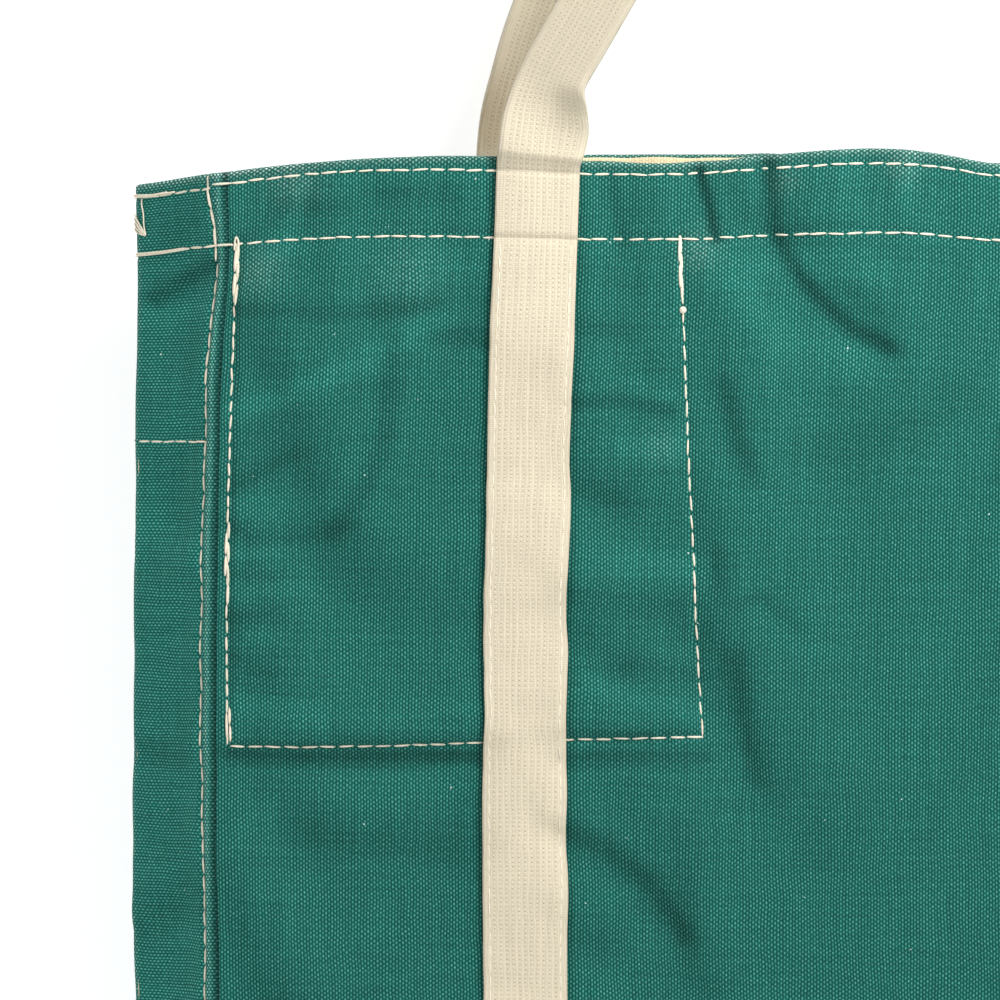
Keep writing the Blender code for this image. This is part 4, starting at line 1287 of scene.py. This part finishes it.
def sewPockets():
    for side, sideName in sides:
        bm = bmesh.new()
        top, low = pocket["top"] + 1.2 * mm, pocket["bottom"]

        def outerEdge(z):
            return pocket["outerX"] - 0.6 * mm * np.sin(z / (50 * mm)) + 0.5 * drawnIn(z)

        def outerLine(z, side=side, offset=0.0):
            return panelSpot(-1, side * (outerEdge(z) - offset), z, 0)

        def innerLine(z, side=side, offset=0.0):
            return panelSpot(-1, side * (pocketInner(z) + offset), z, 0)

        def floorLine(d, side=side):
            return panelSpot(-1, side * d, pocketFloor(d), 0)
        sewLine(bm, outerLine, low, top, 60 + side, pitch=4.9 * mm)
        sewLine(bm, innerLine, low + pocket["rise"], top + 2 * mm, 62 + side)
        sewLine(bm, floorLine, pocket["innerBottom"], pocket["outerX"], 68 + side)
        for line, rows in ((outerLine, pocketSewing["outer"]), (innerLine, pocketSewing["inner"])):
            for k, (high, deep, offset, radius) in enumerate(rows):
                def shifted(z, line=line, offset=offset):
                    return line(z, offset=offset * mm)
                sewLine(bm, shifted, deep * mm, high * mm, 71 + k + side, pitch=7.2 * mm, radius=radius * mm,
                        stray=0.15 * mm, proud=0.25 * mm)
        knotZ = pocketSewing["knot"] * mm
        knot, out = pointOnPanel(-1, side * float(pocketInner(knotZ)), knotZ)
        made = bmesh.ops.create_uvsphere(bm, u_segments=8, v_segments=6,
                                         radius=pocketSewing["knotSize"] * mm)["verts"]
        bmesh.ops.translate(bm, verts=made, vec=knot + out * 0.5 * mm)
        # the outer line starts with a loop that shows two strands over the hem
        loop = [pointOnPanel(-1, side * (float(outerEdge(z * mm)) - dx * mm), z * mm, 0.35 * mm)[0]
                for dx, z in pocketSewing["loop"]]
        addTail(bm, loop, 0.32 * mm)
        finishStitches(sideName + "_pocket_stitches", bm, sideName + "_pocket_thread")


def sewFacings():
    reach = bag["halfGusset"]
    for side, sideName in sides:
        bm = bmesh.new()

        def across(d, side=side):
            z = facing["bottom"] + 1.6 * mm + 0.8 * mm * (1 - np.abs(d) / reach)
            return gussetSpot(side, d / reach, z, 0)
        sewLine(bm, across, -0.92 * reach, 0.92 * reach, 70 + side, pitch=4.6 * mm, radius=0.3 * mm,
                proud=0.1 * mm)
        finishStitches(sideName + "_facing_stitches", bm, sideName + "_facing_thread")


def sewStraps():
    for face, faceName in faces:
        for side, sideName in sides:
            for edge, edgeName in ((-1, "inner"), (1, "outer")):
                bm = bmesh.new()

                def strapPlace(down, face=face, side=side, edge=edge):
                    z = bag["height"] - down
                    x = side * (strapX(face, z) + edge * strap["sewn"])
                    return panelSpot(face, x, z, strap["lift"] - strap["pinch"])
                sewLine(bm, strapPlace, 25 * mm, bag["height"] - 12 * mm, 80 + 5 * face + 2 * side + edge,
                        pitch=4.4 * mm, radius=0.24 * mm, stray=0.12 * mm)
                finishStitches(f"{faceName}_{sideName}_strap_stitches_{edgeName}", bm,
                               f"{faceName}_{sideName}_strap_thread_{edgeName}")


def onLeftCorner(depth, z, lift):
    # a place near the crease of the left gusset: depth is the distance from the crease along its front half
    return Vector(onGusset(-1, -depth * mm / bag["halfGusset"], z * mm, lift * mm)[0])


cornerThreads = [
    # distance from the crease, height and lift, in millimetres: the ends left loose at the left corner
    ([(3.1, 350.4, 0.4), (3.0, 348.6, 0.6), (3.9, 345.2, 0.8), (3.6, 341.0, 0.8), (4.2, 337.9, 0.7)], 0.22),
    ([(4.3, 337.9, 0.8), (3.0, 340.2, 0.9), (1.4, 343.0, 0.8), (0.1, 345.2, 0.5)], 0.26),
    ([(4.2, 337.8, 0.8), (2.8, 339.4, 1.0), (1.2, 341.8, 0.9), (0.0, 343.6, 0.5)], 0.30),
    ([(4.2, 337.7, 0.9), (2.4, 338.9, 1.0), (0.9, 340.6, 0.9), (0.0, 342.0, 0.5)], 0.30),
    ([(4.1, 337.6, 0.8), (2.0, 338.3, 0.9), (0.6, 339.4, 0.8), (0.0, 340.4, 0.5)], 0.26),
    ([(0.0, 351.9, 0.6), (4, 351.5, 0.7), (8, 351.2, 0.8), (14.5, 351.3, 0.6)], 0.34),
    ([(0.2, 351.3, 0.6), (5, 350.9, 0.7), (9, 350.7, 0.7)], 0.36),
    ([(0.0, 351.7, 0.4), (4, 351.3, 0.9), (8, 351.3, 1.0), (12, 351.6, 0.8)], 0.30),
    ([(0.2, 331.6, 0.6), (6, 331.7, 0.8), (12, 331.9, 0.8), (17, 332.2, 0.5)], 0.32),
    ([(0.4, 331.0, 0.6), (6, 331.1, 0.7), (12, 331.4, 0.7), (19, 332.0, 0.5)], 0.30),
]
upper = sewMouth("upper", 101)
for spots, radius in cornerThreads:
    addTail(upper, [onLeftCorner(*spot) for spot in spots], radius * mm)
finishStitches("hem_stitches_upper", upper, "hem_thread_upper")
finishStitches("hem_stitches_lower", sewMouth("lower", 131), "hem_thread_lower")
sewSeams()
sewPockets()
sewFacings()
sewStraps()
print("stitching made")

# stage, light and camera
stageSettings = {"wallY": 52 * mm, "white": "#f6f7f7", "size": 6.0, "glow": 0.80, "glowing": "#a9aaab",
                 "skyLight": 0.26}
view = {"x": -117.5 * mm, "z": 252.4 * mm, "span": 306 * mm, "lens": 250.0, "sensor": 36.0,
        "elevation": math.radians(3)}


def stagePlane(name, location, rotation, material):
    mesh = bpy.data.meshes.new(name)
    bm = bmesh.new()
    bmesh.ops.create_grid(bm, x_segments=1, y_segments=1, size=stageSettings["size"] / 2)
    bm.to_mesh(mesh)
    bm.free()
    plane = bpy.data.objects.new(name, mesh)
    plane.location, plane.rotation_euler = location, rotation
    mesh.materials.append(material)
    bpy.context.scene.collection.objects.link(plane)
    return plane


def paperMaterial(name):
    material, tree = newMaterial(name)
    shader = addNode(tree, "BsdfPrincipled", {
        "Base Color": linearColour(stageSettings["white"]), "Roughness": 0.9, "Specular IOR Level": 0.1})
    addNode(tree, "OutputMaterial", {"Surface": shader})
    return material


def glowingPaperMaterial(name):
    # lit from behind, and only there when seen from its front
    material, tree = newMaterial(name)
    shader = addNode(tree, "BsdfPrincipled", {
        "Base Color": linearColour(stageSettings["glowing"]), "Roughness": 0.9, "Specular IOR Level": 0.1,
        "Emission Color": (1.0, 1.0, 1.0, 1.0), "Emission Strength": stageSettings["glow"]})
    back = addNode(tree, "NewGeometry", output="Backfacing")
    clear = addNode(tree, "BsdfTransparent")
    both = addNode(tree, "MixShader", {0: back, 1: shader, 2: clear})
    addNode(tree, "OutputMaterial", {"Surface": both})
    return material


stagePlane("floor", (0, 0, -0.3 * mm), (0, 0, 0), paperMaterial("palePaperFloor"))
stagePlane("backdrop", (0, stageSettings["wallY"], stageSettings["size"] / 2 - 0.01), (math.pi / 2, 0, 0),
           glowingPaperMaterial("palePaperBackdrop"))


def areaLight(name, location, target, size, energy):
    data = bpy.data.lights.new(name, "AREA")
    data.shape, data.size, data.energy = "DISK", size, energy
    lamp = bpy.data.objects.new(name, data)
    lamp.location = location
    lamp.rotation_euler = (Vector(target) - Vector(location)).to_track_quat("-Z", "Y").to_euler()
    bpy.context.scene.collection.objects.link(lamp)
    return lamp


# place, place it points at, size in metres and power in watts
lamps = {
    "key": ((0.25, -0.46, 0.80), (-0.06, 0, 0.24), 0.40, 7.2),
    "fill": ((-1.3, -0.7, 0.5), (-0.1, 0, 0.22), 1.0, 2.6),
}
for name, settings in lamps.items():
    areaLight(name, *settings)

world = bpy.data.worlds.new("studio")
bpy.context.scene.world = world
world.use_nodes = True
background = world.node_tree.nodes["Background"]
background.inputs[0].default_value = (1.0, 1.0, 1.0, 1.0)
background.inputs[1].default_value = stageSettings["skyLight"]

camera = bpy.data.cameras.new("camera")
camera.lens, camera.sensor_width = view["lens"], view["sensor"]
eye = bpy.data.objects.new("camera", camera)
distance = view["span"] * view["lens"] / view["sensor"]
eye.location = (view["x"], -bag["halfMouth"] - 1 * mm - distance * math.cos(view["elevation"]),
                view["z"] + distance * math.sin(view["elevation"]))
eye.rotation_euler = (math.pi / 2 - view["elevation"], 0, 0)
bpy.context.scene.collection.objects.link(eye)
bpy.context.scene.camera = eye
bpy.context.scene.view_settings.view_transform = "Standard"
